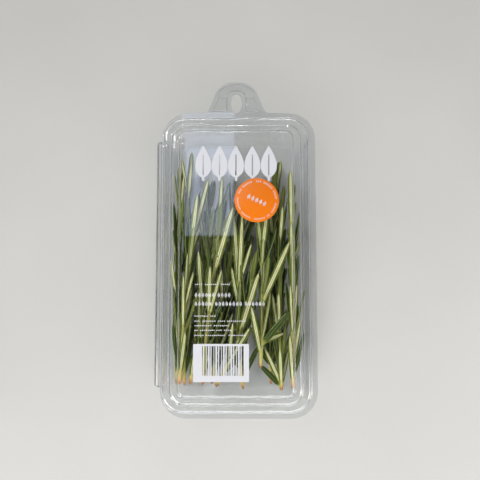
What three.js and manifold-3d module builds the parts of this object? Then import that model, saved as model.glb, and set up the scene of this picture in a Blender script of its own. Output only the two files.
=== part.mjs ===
// A bunch of cut rosemary sprigs in a clear hinged pack with a hang tab.
// Millimetres, +Z up. The origin is the middle of the tray's flat underside,
// +Y runs from the cut ends to the hang tab, +X away from the hinge.

import * as THREE from 'three';
import { mergeVertices } from 'three/addons/utils/BufferGeometryUtils.js';
import Module from 'manifold-3d';

const wasm = await Module();
wasm.setup();

// ---- driving dimensions of the pack ----
const SHEET = 0.5;            // thickness of the formed sheet
const PARTING = 17;           // height of the plane where the two halves meet
const SEAM_GAP = 0.15;        // each half's rim stands this far off the parting plane
const CORNER_STEPS = 6;       // facets in each rounded corner
const FLANGE = { left: -47.3, right: 50.5, halfY: 96.6, radius: 17 };
const MOUTH = { halfX: 46.3, halfY: 92.8, radius: 13.5 };    // top of the tray's wall
const SHOULDER = { halfX: 43.4, halfY: 86.6, radius: 11.5, z: 9.5 };
const FLOOR = { halfX: 39.5, halfY: 79.5, radius: 9 };
const LEDGE = { halfX: 40.8, halfY: 88.1, radius: 9.3 };     // the lid's middle step
const PANEL = { halfX: 35.8, halfY: 83.3, radius: 4.5 };     // the lid's flat top
const LID_STEPS = [20, 22.6, 25];                            // outer heights of the three steps
const DRAFT = 0.45;                                          // lean of each riser

// ---- hang tab ----
const TAB = {
  baseHalf: 20.3, shoulderHalf: 13, shoulderY: 111, topY: 117,
  lean: 1.25,              // a line inside the outline is this much further in at the leaning foot
  foot: [-2.6, 1.2],       // the foot's curve bends here, from the base's end and the rim's edge
  neck: [1.1, -3.5],       // the foot's curve ends here, from the shoulder
  headSide: [-0.6, 1.5],   // the head's curve bends here, from the shoulder
  headFlat: 0.62,          // and again at this share of the shoulder's half width, at the top
};
const HANG_HOLE = { y: 103, halfX: 3.6, halfY: 6.6 };
const TAB_PANEL = { inset: 2.6, baseY: 97.4, rise: 0.6 };    // raised panel inside the tab's edge
const HOLE_ARCH = { halfX: 6, springY: 106, rise: 6 };       // flat arch kept free round the hang hole
const CRESCENT = { y: 108.8, rise: 1.1, outer: [11.8, 6.8], inner: [5.4, 2.3] };

// ---- hinge strip ----
const HINGE = { x: -50.7, halfLength: 77.2 };
const HINGE_LEG = [      // section of one leg: x from the crease, height from the rim's face
  [4, 0], [4, 0.5], [2.9, 0.5], [2.4, 1.7], [0.9, 1.7], [0, 1],
  [0, 0], [0.5, 0], [0.5, 0.8], [1.1, 1.2], [2.1, 1.2], [2.5, 0],
];

// ---- round sticker on the lid ----
const STICKER = { x: 12.8, y: 38.4, radius: 14, thickness: 0.35, gap: 0.05, sides: 40 };

// ---- rosemary ----
const LEAF = { length: 34, halfWide: 1.7, halfThick: 0.55, tilt: 19, arch: 1.2 };
const LEAF_STATIONS = [[0, 0.3, 0.65], [0.25, 0.98, 1], [0.8, 0.85, 0.9]];  // how far up, width, thickness
const GROWTH = {
  length: [0.86, 1.08], tilt: [0.75, 1.35], width: [0.8, 1.1],      // least and most of each scale
  turnSpread: 30, rollSpread: 60,                                   // degrees
  shortening: 0.3,                                                  // of the leaves up the stem
  side: { chance: 0.5, rise: 2, turn: 55, length: 0.55, tilt: 0.7 },  // a young leaf beside an old one
  crown: { leaves: 4, drop: 1.5, turn: 45, length: 0.6, tilt: 0.55 }, // the leaves round the growing tip
  straightening: 0.6,                                               // of a leaf's tilt in its outer half
};
const STEM = { rootRadius: 1.35, tipRadius: 0.75, sides: 6, steps: 9 };
const CLEAR = 0.35;           // least distance kept between two sprigs
const WALL_CLEAR = 0.4;       // least distance kept to the pack
const SAMPLES = 9;            // points along a leaf at which its distances are tested
const FIRST_SEED = 11;        // the seed of the first sprig; each next one adds 1
const SIDE_TURNS = [0, 35, -35, 70, -70, 110, -110, 150];    // ways a blocked leaf is turned, degrees
const TILT_SCALES = [1, 0.6, 0.3];                           // ways a blocked leaf is folded in
const LENGTH_SCALES = [1, 0.7];                              // ways a blocked leaf is shortened
const LIFTS = [0, -1.5, 1.5, -3, 3, -4.5, 4.5, -6, 6];       // ways a lying leaf's tip is moved, mm

// Each sprig: its stem's cut end, two bends and tip; the y of its nodes; the turn of its
// first pair of leaves in degrees; and the leaves that lie on top of the bunch, each as
// [y of its root on the stem, tip x, tip y, tip z, scale of its width].
const SPRIGS = [
  { stem: [[-37.4, -76.2, 7.5], [-38.6, -35, 8], [-38, 5, 8], [-36.4, 44, 9]],
    nodes: [-66, -45, -24, -4, 15, 32], turn: 80,
    lying: [[-62, -44.2, -29, 15.5, 0.9]] },
  { stem: [[-35.4, -75.9, 14], [-33, -38, 15.5], [-31.5, -2, 16], [-25.4, 26, 16.5]],
    nodes: [-47, -24, -3, 13], turn: 20,
    lying: [[-70, -31.7, -44, 19.5, 1], [-44, -33.1, -8.5, 19.5, 0.8], [-28, -27, -6.5, 19, 0.7],
      [-2, -24.6, 43.5, 20.5, 1.15], [17, -17.6, 54, 21, 1], [3, -23.6, 22, 17.5, 0.7]] },
  { stem: [[-33.2, -77, 4], [-32, -40, 3.8], [-34, 0, 4.5], [-31, 53, 8]],
    nodes: [-64, -42, -20, 2, 24, 41], turn: 0,
    lying: [[30, -38.3, 62, 13, 0.7], [44, -35.6, 68, 14, 0.7]] },
  { stem: [[-29.1, -75.9, 9.5], [-24, -50, 9], [-19, -20, 9], [-17, 36, 10]],
    nodes: [-61, -43, -27, -8, 12, 25], turn: 60,
    lying: [[-30, -24.1, 7.5, 15.5, 1.1]] },
  { stem: [[-20.9, -76.2, 14], [-20, -45, 15], [-14.5, -20, 15.5], [-9.5, 34, 15.5]],
    nodes: [-60, -33, -5, 14], turn: 15,
    lying: [[-34, -9.2, -5, 20, 0.9], [-6, -2.2, 34.5, 20.8, 1.3], [8, -9, 56, 18, 0.9]] },
  { stem: [[-15.9, -76.2, 4.5], [-12, -50, 4], [-4, -20, 4], [-3, 42, 5.5]],
    nodes: [-60, -38, -16, 6, 28], turn: 45,
    lying: [[-38, -9.4, -4.5, 9, 1]] },
  { stem: [[-13, -77.6, 10], [-2, -58, 14.5], [6, -40, 16.5], [9.5, -12, 17]],
    nodes: [-66, -50, -30], turn: 70,
    lying: [[-46, 14, -7, 21, 1.35], [-62, -2.2, -38, 20.5, 0.9]] },
  { stem: [[4.7, -79.1, 8.5], [-1.5, -50, 10], [1.5, -20, 12], [4, 30, 12.5]],
    nodes: [-64, -42, -16, 4, 18], turn: 10,
    lying: [[-18, -1.4, 29, 18.5, 1.1], [-17, 3.6, 27, 18.5, 1.1], [-14, 9.4, 11.6, 17.5, 0.8]] },
  { stem: [[15.1, -65.6, 17.5], [15.6, -45, 18], [16.8, -20, 17.5], [15.5, 18, 17]],
    nodes: [-50, -24, -4, 8], turn: 30,
    lying: [[-58, 9.3, -28, 20.5, 1.1], [-52, 33, -31.2, 20.5, 1.2], [-26, 33.4, 12.6, 21, 1.2],
      [-24, 17.2, 4, 21.3, 0.9], [-50, 29.6, -44.5, 15, 1], [3, 20, 38, 20.5, 1.1]] },
  { stem: [[21.9, -76.2, 4.5], [22, -40, 4], [23, 0, 4.5], [26, 48, 6]],
    nodes: [-60, -38, -16, 6, 26, 40], turn: 30,
    lying: [[10, 21, 44, 11, 1]] },
  { stem: [[28.3, -79.7, 10.5], [27.2, -50, 10.5], [26, -20, 10.5], [28.5, 32, 12]],
    nodes: [-54, -32, -10, 12, 24], turn: 0,
    lying: [[-76, 17.8, -54, 15.5, 1], [-77, 27.2, -54.5, 15, 1], [-77, 32.4, -56, 12, 0.8],
      [-40, 26.4, -20, 17, 0.9]] },
  { stem: [[35.3, -78.3, 13.5], [36, -40, 14], [35.6, 0, 14.5], [35, 36, 14.5]],
    nodes: [-47, -22, 6, 24], turn: 0,
    lying: [[-76, 33.2, -46, 18.5, 1], [-47, 33.6, -14.5, 18.5, 0.8], [-46, 38.2, -14, 17.5, 0.8],
      [-22, 34.6, 26, 19, 1.2], [22, 34.4, 59, 19, 1.2], [-62, 40.4, -36, 14, 0.8]] },
];

// ---- colours and finishes ----
function finish(color, roughness, extra = {}) {
  return new THREE.MeshStandardMaterial({ color, roughness, metalness: 0, ...extra });
}

const clearSheet = () => finish(0xdfe6e8, 0.08, { transparent: true, opacity: 0.3 });
const freshLeaf = (shade) => finish(new THREE.Color(0x6f8a45).multiplyScalar(shade), 0.55);
const orangePaper = () => finish(0xf07d00, 0.5);

// ---- closed meshes from rings of points ----
const v = (x, y, z) => new THREE.Vector3(x, y, z);

function signedVolume(geometry) {
  const p = geometry.getAttribute('position');
  const index = geometry.getIndex();
  const [a, b, c] = [v(), v(), v()];
  let sum = 0;
  for (let i = 0; i < index.count; i += 3) {
    a.fromBufferAttribute(p, index.getX(i));
    b.fromBufferAttribute(p, index.getX(i + 1));
    c.fromBufferAttribute(p, index.getX(i + 2));
    sum += a.dot(b.cross(c)) / 6;
  }
  return sum;
}

/** A closed solid through rings of equal point count; the last may be a single point. */
function loft(rings) {
  const position = [];
  const index = [];
  for (const ring of rings) for (const p of ring) position.push(p.x, p.y, p.z);
  const n = rings[0].length;
  let start = 0;
  for (const next of rings.slice(1)) {
    const after = start + n;
    for (let i = 0; i < n; i++) {
      const j = (i + 1) % n;
      if (next.length === 1) index.push(start + i, start + j, after);
      else index.push(start + i, start + j, after + j, start + i, after + j, after + i);
    }
    start = after;
  }
  for (let i = 1; i + 1 < n; i++) {
    index.push(0, i + 1, i);
    if (rings.at(-1).length > 1) index.push(start, start + i, start + i + 1);
  }
  const geometry = new THREE.BufferGeometry();
  geometry.setAttribute('position', new THREE.Float32BufferAttribute(position, 3));
  geometry.setIndex(index);
  if (signedVolume(geometry) < 0) geometry.setIndex(index.reverse());
  return geometry;
}

function toSolid(geometry) {
  const bare = geometry.clone();
  bare.deleteAttribute('normal');
  bare.deleteAttribute('uv');
  const merged = mergeVertices(bare, 1e-5);
  return new wasm.Manifold(new wasm.Mesh({
    numProp: 3,
    vertProperties: new Float32Array(merged.getAttribute('position').array),
    triVerts: new Uint32Array(merged.getIndex().array),
  }));
}

function toGeometry(solid) {
  const mesh = solid.getMesh();
  const geometry = new THREE.BufferGeometry();
  geometry.setAttribute('position', new THREE.BufferAttribute(mesh.vertProperties, 3));
  geometry.setIndex(new THREE.BufferAttribute(mesh.triVerts, 1));
  geometry.computeVertexNormals();
  return geometry;
}

function joined(geometries) {
  const [first, ...rest] = geometries.map(toSolid);
  return rest.reduce((whole, piece) => whole.add(piece), first);
}

// ---- outlines ----
/** A ring of points round a rounded rectangle at one height, drawn in by shrink. */
function roundedRing({ halfX, halfY, radius }, z, shrink = 0) {
  const ring = [];
  const [hx, hy, r] = [halfX - shrink, halfY - shrink, radius - shrink];
  const corners = [[1, 1], [-1, 1], [-1, -1], [1, -1]];
  corners.forEach(([sx, sy], quarter) => {
    for (let i = 0; i <= CORNER_STEPS; i++) {
      const angle = (quarter + i / CORNER_STEPS) * Math.PI / 2;
      ring.push(v(sx * (hx - r) + r * Math.cos(angle), sy * (hy - r) + r * Math.sin(angle), z));
    }
  });
  return ring;
}

function roundedOutline(path, left, right, halfY, radius) {
  path.absarc(right - radius, halfY - radius, radius, 0, Math.PI / 2);
  path.absarc(left + radius, halfY - radius, radius, Math.PI / 2, Math.PI);
  path.absarc(left + radius, radius - halfY, radius, Math.PI, Math.PI * 1.5);
  path.absarc(right - radius, radius - halfY, radius, Math.PI * 1.5, Math.PI * 2);
  path.closePath();
  return path;
}

/** The tab: leaning sides under a rounded head, drawn in by inset and starting at baseY. */
function tabOutline(inset, baseY) {
  const base = TAB.baseHalf - TAB.lean * inset;
  const shoulder = TAB.shoulderHalf - inset;
  const top = TAB.topY - inset;
  const foot = [base + TAB.foot[0], FLANGE.halfY + TAB.foot[1]];
  const neck = [shoulder + TAB.neck[0], TAB.shoulderY + TAB.neck[1]];
  const side = [shoulder + TAB.headSide[0], TAB.shoulderY + TAB.headSide[1]];
  const flat = [shoulder * TAB.headFlat, top];
  const path = new THREE.Shape();
  path.moveTo(base, baseY);
  path.quadraticCurveTo(...foot, ...neck);
  path.bezierCurveTo(...side, ...flat, 0, top);
  path.bezierCurveTo(-flat[0], flat[1], -side[0], side[1], -neck[0], neck[1]);
  path.quadraticCurveTo(-foot[0], foot[1], -base, baseY);
  path.closePath();
  return path;
}

/** The arch round the hang hole, from below the raised panel's foot. */
function holeArchOutline() {
  const { halfX, springY, rise } = HOLE_ARCH;
  const footY = TAB_PANEL.baseY - 1;
  const path = new THREE.Shape();
  path.moveTo(halfX, footY);
  path.lineTo(halfX, springY);
  path.absellipse(0, springY, halfX, rise, 0, Math.PI);
  path.lineTo(-halfX, footY);
  path.closePath();
  return path;
}

/** The crescent over the hang hole, an arched band that swells into a round lobe at each end. */
function crescentOutline() {
  const { y, outer, inner } = CRESCENT;
  const lobeX = (outer[0] + inner[0]) / 2;
  const lobeRadius = (outer[0] - inner[0]) / 2;
  const path = new THREE.Shape();
  path.absellipse(0, y, ...outer, 0, Math.PI);
  path.absarc(-lobeX, y, lobeRadius, Math.PI, Math.PI * 2);
  path.absellipse(0, y, ...inner, Math.PI, 0, true);
  path.absarc(lobeX, y, lobeRadius, Math.PI, Math.PI * 2);
  path.closePath();
  return path;
}

function plate(shape, z, thickness) {
  const geometry = new THREE.ExtrudeGeometry(shape, {
    depth: thickness, bevelEnabled: false, curveSegments: CORNER_STEPS,
  });
  return geometry.translate(0, 0, z);
}

// ---- the two halves of the pack ----
/** The flat rim and the hang tab on it, their undersides at z; the wall stands in the rim's hole. */
function rimPlates(z, holeShrink) {
  const rim = roundedOutline(new THREE.Shape(), FLANGE.left, FLANGE.right, FLANGE.halfY, FLANGE.radius);
  const holeX = MOUTH.halfX - holeShrink;
  const hole = roundedOutline(new THREE.Path(), -holeX, holeX, MOUTH.halfY - holeShrink,
    MOUTH.radius - holeShrink);
  rim.holes.push(hole);
  const tab = tabOutline(0, FLANGE.halfY - 1);
  tab.holes.push(new THREE.Path().absellipse(0, HANG_HOLE.y, HANG_HOLE.halfX, HANG_HOLE.halfY, 0, Math.PI * 2));
  return [plate(rim, z, SHEET), plate(tab, z, SHEET)];
}

/** One leg of the hinge, an arched strip from the rim to the crease: side is 1 above, -1 below. */
function hingeLeg(side) {
  const section = HINGE_LEG
    .map(([x, z]) => new THREE.Vector2(HINGE.x + x, PARTING + side * (SEAM_GAP + z)));
  const strip = new THREE.ExtrudeGeometry(new THREE.Shape(section), {
    depth: 2 * HINGE.halfLength, bevelEnabled: false,
  });
  return strip.rotateX(Math.PI / 2).translate(0, HINGE.halfLength, 0);
}

function makeTray() {
  const rimTop = PARTING - SEAM_GAP;
  const wall = loft([
    roundedRing(FLOOR, 0, 1),
    roundedRing(FLOOR, 1),
    roundedRing(SHOULDER, SHOULDER.z, DRAFT),
    roundedRing(SHOULDER, SHOULDER.z, -DRAFT),
    roundedRing(MOUTH, rimTop),
    roundedRing(MOUTH, rimTop, SHEET),
    roundedRing(SHOULDER, SHOULDER.z + SHEET, SHEET - DRAFT),
    roundedRing(SHOULDER, SHOULDER.z + SHEET, SHEET + DRAFT),
    roundedRing(FLOOR, 1 + SHEET, SHEET),
    roundedRing(FLOOR, SHEET, 1 + SHEET),
  ]);
  return joined([wall, ...rimPlates(rimTop - SHEET, SHEET / 2), hingeLeg(-1)]);
}

function makeLid() {
  const rimFoot = PARTING + SEAM_GAP;
  const rimTop = rimFoot + SHEET;
  const [low, middle, top] = LID_STEPS;
  const dome = loft([
    roundedRing(PANEL, top),
    roundedRing(PANEL, middle, -DRAFT),
    roundedRing(LEDGE, middle),
    roundedRing(LEDGE, low, -DRAFT),
    roundedRing(MOUTH, low),
    roundedRing(MOUTH, rimFoot, -DRAFT),
    roundedRing(MOUTH, rimFoot, SHEET - DRAFT),
    roundedRing(MOUTH, low - SHEET, SHEET),
    roundedRing(LEDGE, low - SHEET, SHEET - DRAFT),
    roundedRing(LEDGE, middle - SHEET, SHEET),
    roundedRing(PANEL, middle - SHEET, SHEET - DRAFT),
    roundedRing(PANEL, top - SHEET, SHEET),
  ]);
  const reliefFoot = rimTop - SHEET / 2;
  const { inset, baseY, rise } = TAB_PANEL;
  const fullPanel = toSolid(plate(tabOutline(inset, baseY), reliefFoot, SHEET / 2 + rise));
  const arch = toSolid(plate(holeArchOutline(), rimFoot, SHEET + CRESCENT.rise));
  const panel = toGeometry(fullPanel.subtract(arch));
  const crescent = plate(crescentOutline(), reliefFoot, SHEET / 2 + CRESCENT.rise);
  return joined([dome, ...rimPlates(rimFoot, 0), hingeLeg(1), panel, crescent]);
}

function makeSticker() {
  const disc = new THREE.CylinderGeometry(STICKER.radius, STICKER.radius, STICKER.thickness, STICKER.sides);
  const z = LID_STEPS[2] + STICKER.gap + STICKER.thickness / 2;
  return toSolid(disc.rotateX(Math.PI / 2).translate(STICKER.x, STICKER.y, z));
}

// ---- how the rosemary grows ----
const radians = THREE.MathUtils.degToRad;

/** A repeatable random source of numbers from 0 to 1. */
function dice(seed) {
  let state = seed;
  return () => {
    state = (state * 1664525 + 1013904223) % 4294967296;
    return state / 4294967296;
  };
}

/** The stem's point, direction and two cross axes at parameter t. */
function stemFrame(curve, t) {
  const at = curve.getPoint(t);
  const [a, b, c, d] = [curve.v0, curve.v1, curve.v2, curve.v3];
  const along = v().addScaledVector(b.clone().sub(a), (1 - t) ** 2)
    .addScaledVector(c.clone().sub(b), 2 * t * (1 - t))
    .addScaledVector(d.clone().sub(c), t ** 2)
    .normalize();
  const side = along.clone().cross(v(0, 0, 1)).normalize();
  return { at, along, side, up: side.clone().cross(along) };
}

/** The parameter at which a stem that runs up the pack reaches y. */
function stemParameter(curve, y) {
  let [low, high] = [0, 1];
  for (let i = 0; i < 30; i++) {
    const middle = (low + high) / 2;
    if (curve.getPoint(middle).y < y) low = middle;
    else high = middle;
  }
  return (low + high) / 2;
}

/** A leaf through three points; outward is the side that its pale underside faces. */
function leafAlong(base, bend, tip, outward, width) {
  const along = tip.clone().sub(base).normalize();
  const wide = along.clone().cross(outward).normalize();
  const thick = wide.clone().cross(along).normalize();
  return { base, bend, tip, wide, thick, width };
}

function leafPoint(leaf, s) {
  return v().addScaledVector(leaf.base, (1 - s) ** 2)
    .addScaledVector(leaf.bend, 2 * s * (1 - s))
    .addScaledVector(leaf.tip, s ** 2);
}

/** Half the room that a limb takes up from its middle line towards a direction. */
function reach(limb, direction) {
  return Math.abs(direction.dot(limb.wide)) * limb.halfWide
    + Math.abs(direction.dot(limb.thick)) * limb.halfThick;
}

function limbsOf(leaf, owner) {
  const middle = leafPoint(leaf, 0.5);
  const size = {
    wide: leaf.wide, thick: leaf.thick, owner,
    halfWide: LEAF.halfWide * leaf.width, halfThick: LEAF.halfThick,
  };
  return [{ from: leaf.base, to: middle, outer: false, ...size },
    { from: middle, to: leaf.tip, outer: true, ...size }];
}

function stemLimbs(curve, owner) {
  const limbs = [];
  for (let i = 0; i < STEM.steps; i++) {
    const { at, side, up } = stemFrame(curve, i / STEM.steps);
    limbs.push({
      from: at, to: curve.getPoint((i + 1) / STEM.steps), wide: side, thick: up, owner,
      halfWide: STEM.rootRadius, halfThick: STEM.rootRadius, outer: false,
    });
  }
  return limbs;
}

/** Half the clear width and length inside the pack at a height. */
function roomAt(z) {
  const [low, middle] = LID_STEPS;
  if (z > middle - SHEET) return [PANEL.halfX, PANEL.halfY];
  if (z > low - SHEET) return [LEDGE.halfX, LEDGE.halfY];
  if (z > PARTING) return [MOUTH.halfX, MOUTH.halfY];
  const [below, above, t] = z < SHOULDER.z
    ? [FLOOR, SHOULDER, z / SHOULDER.z]
    : [SHOULDER, MOUTH, (z - SHOULDER.z) / (PARTING - SHOULDER.z)];
  return [below.halfX + (above.halfX - below.halfX) * t, below.halfY + (above.halfY - below.halfY) * t];
}

function insidePack(p, limb) {
  const margin = WALL_CLEAR + SHEET;
  const riseZ = reach(limb, v(0, 0, 1));
  if (p.z - riseZ < margin || p.z + riseZ > LID_STEPS[2] - margin) return false;
  const spanX = Math.abs(p.x) + reach(limb, v(1, 0, 0)) + margin;
  const spanY = Math.abs(p.y) + margin;
  return [p.z - riseZ, p.z + riseZ].every((z) => {
    const [halfX, halfY] = roomAt(z);
    return spanX < halfX && spanY < halfY;
  });
}

/** Whether a leaf keeps clear of the pack, the other sprigs and the outer halves of its own leaves. */
function isClear(leaf, owner, limbs) {
  const [body] = limbsOf(leaf, owner);
  for (let i = 1; i <= SAMPLES; i++) {
    const s = i / SAMPLES;
    const p = leafPoint(leaf, s);
    if (!insidePack(p, body)) return false;
    for (const limb of limbs) {
      if (limb.owner === owner && (s < 0.5 || !limb.outer)) continue;
      const run = limb.to.clone().sub(limb.from);
      const t = Math.min(1, Math.max(0, p.clone().sub(limb.from).dot(run) / run.dot(run)));
      const away = p.clone().sub(limb.from.clone().addScaledVector(run, t));
      const distance = away.length();
      away.divideScalar(Math.max(distance, 1e-9));
      if (distance < reach(body, away) + reach(limb, away) + CLEAR) return false;
    }
  }
  return true;
}

/** A leaf that lies on the bunch, its tip lifted or lowered until it is clear. */
function lyingLeaf(curve, [y, tipX, tipY, tipZ, width], owner, limbs) {
  const { at } = stemFrame(curve, stemParameter(curve, y));
  for (const lift of LIFTS) {
    const tip = v(tipX, tipY, tipZ + lift);
    const bend = at.clone().add(tip).multiplyScalar(0.5).add(v(0, 0, LEAF.arch));
    const leaf = leafAlong(at, bend, tip, v(0, 0, 1), width);
    if (isClear(leaf, owner, limbs)) return leaf;
  }
  return null;
}

/** A leaf that grows at an angle to the stem, turned, folded in or shortened until it is clear. */
function growingLeaf(frame, shape, owner, limbs) {
  for (const shorter of LENGTH_SCALES) {
    for (const turned of SIDE_TURNS) {
      for (const folded of TILT_SCALES) {
        const turn = radians(shape.turn + turned);
        const tilt = radians(shape.tilt) * folded;
        const half = shape.length * shorter / 2;
        const away = frame.side.clone().multiplyScalar(Math.cos(turn))
          .addScaledVector(frame.up, Math.sin(turn));
        const heading = (angle) => frame.along.clone().multiplyScalar(Math.cos(angle))
          .addScaledVector(away, Math.sin(angle));
        const bend = frame.at.clone().addScaledVector(heading(tilt), half);
        const tip = bend.clone().addScaledVector(heading(tilt * GROWTH.straightening), half);
        const facing = away.clone().applyAxisAngle(frame.along, radians(shape.roll));
        const leaf = leafAlong(frame.at, bend, tip, facing, shape.width);
        if (isClear(leaf, owner, limbs)) return leaf;
      }
    }
  }
  return null;
}

/** The leaves that a sprig's rule asks for: pairs at its nodes, each turned 90 degrees from the last. */
function leafShapes(sprig, owner) {
  const random = dice(owner + FIRST_SEED);
  const within = ([least, most]) => least + (most - least) * random();
  const spread = (degrees) => degrees * (random() - 0.5);
  const { side, crown } = GROWTH;
  const shapes = [];
  const add = (y, turn, length, tilt) => shapes.push({
    y, length: length * within(GROWTH.length), tilt: tilt * within(GROWTH.tilt),
    turn: turn + spread(GROWTH.turnSpread), roll: spread(GROWTH.rollSpread), width: within(GROWTH.width),
  });
  sprig.nodes.forEach((y, k) => {
    const length = LEAF.length * (1 - GROWTH.shortening * k / sprig.nodes.length);
    for (const half of [0, 180]) {
      const turn = sprig.turn + 90 * k + half;
      add(y, turn, length, LEAF.tilt);
      if (random() < side.chance) {
        add(y + side.rise, turn + side.turn, length * side.length, LEAF.tilt * side.tilt);
      }
    }
  });
  const topY = sprig.stem[3][1] - crown.drop;
  for (let k = 0; k < crown.leaves; k++) {
    const y = topY - crown.drop * (k % 2);
    add(y, crown.turn + 90 * k, LEAF.length * crown.length, LEAF.tilt * crown.tilt);
  }
  return shapes;
}

function growBunch() {
  const curves = SPRIGS.map(({ stem }) => new THREE.CubicBezierCurve3(...stem.map((p) => v(...p))));
  const limbs = curves.flatMap((curve, owner) => stemLimbs(curve, owner));
  const bunch = curves.map((curve) => ({ curve, leaves: [] }));
  const keep = (leaf, owner) => {
    if (!leaf) return;
    bunch[owner].leaves.push(leaf);
    limbs.push(...limbsOf(leaf, owner));
  };
  SPRIGS.forEach((sprig, owner) => {
    for (const line of sprig.lying) keep(lyingLeaf(curves[owner], line, owner, limbs), owner);
  });
  SPRIGS.forEach((sprig, owner) => {
    for (const shape of leafShapes(sprig, owner)) {
      const frame = stemFrame(curves[owner], stemParameter(curves[owner], shape.y));
      keep(growingLeaf(frame, shape, owner, limbs), owner);
    }
  });
  return bunch;
}

// ---- solids of the rosemary ----
/** A needle-like leaf of diamond section from its sunk root to its point. */
function leafSolid(leaf) {
  const rings = LEAF_STATIONS.map(([s, widthScale, thickScale]) => {
    const p = leafPoint(leaf, s);
    const wide = leaf.wide.clone().multiplyScalar(LEAF.halfWide * leaf.width * widthScale);
    const thick = leaf.thick.clone().multiplyScalar(LEAF.halfThick * thickScale);
    return [p.clone().add(wide), p.clone().add(thick), p.clone().sub(wide), p.clone().sub(thick)];
  });
  return loft([...rings, [leaf.tip]]);
}

function stemSolid(curve) {
  const rings = [];
  for (let i = 0; i <= STEM.steps; i++) {
    const t = i / STEM.steps;
    const { at, side, up } = stemFrame(curve, t);
    const radius = STEM.rootRadius + (STEM.tipRadius - STEM.rootRadius) * t;
    const ring = [];
    for (let k = 0; k < STEM.sides; k++) {
      const angle = k / STEM.sides * 2 * Math.PI;
      ring.push(at.clone().addScaledVector(side, radius * Math.cos(angle))
        .addScaledVector(up, radius * Math.sin(angle)));
    }
    rings.push(ring);
  }
  return loft(rings);
}

// ---- the whole part ----
const group = new THREE.Group();

function addMesh(name, solid, material) {
  const mesh = new THREE.Mesh(toGeometry(solid), material);
  mesh.name = name;
  group.add(mesh);
}

addMesh('tray', makeTray(), clearSheet());
addMesh('lid', makeLid(), clearSheet());
addMesh('round_sticker', makeSticker(), orangePaper());
growBunch().forEach(({ curve, leaves }, i) => {
  const name = `sprig_${String(i + 1).padStart(2, '0')}`;
  const solid = joined([stemSolid(curve), ...leaves.map(leafSolid)]);
  addMesh(name, solid, freshLeaf(0.9 + 0.2 * (i % 3) / 2));
});

export default group;
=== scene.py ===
"""A bunch of cut rosemary in a clear hinged pack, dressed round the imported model."""

import math

import bmesh
import bpy
import numpy as np
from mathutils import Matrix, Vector


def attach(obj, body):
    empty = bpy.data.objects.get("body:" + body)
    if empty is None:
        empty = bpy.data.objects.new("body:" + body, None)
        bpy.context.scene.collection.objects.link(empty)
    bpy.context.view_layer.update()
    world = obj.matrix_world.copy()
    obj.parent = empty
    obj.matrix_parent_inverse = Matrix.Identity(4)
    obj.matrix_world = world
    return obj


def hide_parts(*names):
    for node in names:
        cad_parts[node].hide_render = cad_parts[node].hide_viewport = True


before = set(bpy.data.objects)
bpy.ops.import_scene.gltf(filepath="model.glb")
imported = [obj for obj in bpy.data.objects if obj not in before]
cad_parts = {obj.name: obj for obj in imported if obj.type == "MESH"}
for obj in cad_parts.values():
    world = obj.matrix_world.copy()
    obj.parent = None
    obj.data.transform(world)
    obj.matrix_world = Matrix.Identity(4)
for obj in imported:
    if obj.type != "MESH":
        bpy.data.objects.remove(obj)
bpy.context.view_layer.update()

MM = 0.001

# ---- the pack, in millimetres ----
SHEET = 0.36                  # thickness of the formed sheet
CAD_SHEET = 0.5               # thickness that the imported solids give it
PARTING = 17.0                # height at which lid and tray meet
RIM_GAP = 0.08                # each rim stands this far off the parting height
CORNER_SEGMENTS = 12
FLANGE = dict(left=-47.3, right=50.5, half_y=96.6, radius=17.0)
MOUTH = dict(left=-46.3, right=46.3, half_y=92.8, radius=13.5)
SHOULDER = dict(left=-43.4, right=43.4, half_y=86.6, radius=11.5)
FLOOR = dict(left=-39.5, right=39.5, half_y=79.5, radius=9.0)
LEDGE = dict(left=-40.8, right=40.8, half_y=88.1, radius=9.3)
PANEL = dict(left=-35.8, right=35.8, half_y=83.3, radius=4.5)
SHOULDER_Z = 9.5
LID_STEPS = (20.0, 22.6, 25.0)
PANEL_TOP = LID_STEPS[2]
DRAFT = 0.45                  # how far a wall leans out from its top to its foot
FLOOR_DRAFT = 0.4
RIM_INSET = 0.5               # width of the first flat ring inside the rim's edge
LID_FOLDS = (1.7, 0.5)        # radius of the folds that stand out, and of those at the feet
TRAY_FOLDS = (1.1, 1.1)
FOLD_ANGLE = 28               # degrees past which an edge counts as a fold
FOLD_SEGMENTS = 5

TAB_BASE_HALF = 20.3
TAB_ROWS = ((97.0, 19.2), (98.2, 18.2), (100.5, 17.0), (104.0, 15.5), (107.5, 14.2), (110.6, 13.0),
            (113.0, 11.3), (115.0, 8.9), (116.3, 6.3), (116.9, 3.4), (117.0, 1.4))
HANG_HOLE = dict(y=103.0, half_x=3.6, half_y=6.6)
TAB_PANEL = dict(inset=2.6, base_y=97.4, rise=0.6, slope=0.26, least=0.5)
HOLE_ARCH = dict(half_x=6.0, middle_y=101.0, half_y=11.0, rounding=0.9999)
CRESCENT = dict(y=108.8, rise=1.1, slope=0.3, outer=(11.8, 6.8), inner=(5.4, 2.3))
TAB_FILLET = 0.1

HINGE_HALF_LENGTH = 77.2
HINGE_ARCH = dict(middle=-49.2, half_width=1.5)
HINGE_ROWS = ((-47.7, 0.05, 77.2), (-48.0, 0.7, 77.2), (-48.4, 1.35, 77.1), (-49.0, 1.75, 76.9),
              (-49.7, 1.75, 76.6), (-50.3, 1.35, 76.2), (-50.6, 0.75, 75.9), (-50.7, 0.1, 75.7))
SLACK = 0.01                  # how far off a line a point may lie and still count as on it
REACH = 1                     # how far a cutter reaches past what it cuts
WELD = 0.003                  # corners nearer than this are merged when a flat piece is raised
BLOCK_WELD = 0.02             # and when a pressed block gets its sloping wall
FULLY_ROUND = 0.999           # of half a bar's height: the largest corner that leaves no doubled points


# ---- helpers for modelling ----
def mm(*values):
    return Vector(values) * MM


def deselect_all():
    bpy.ops.object.select_all(action="DESELECT")


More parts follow.
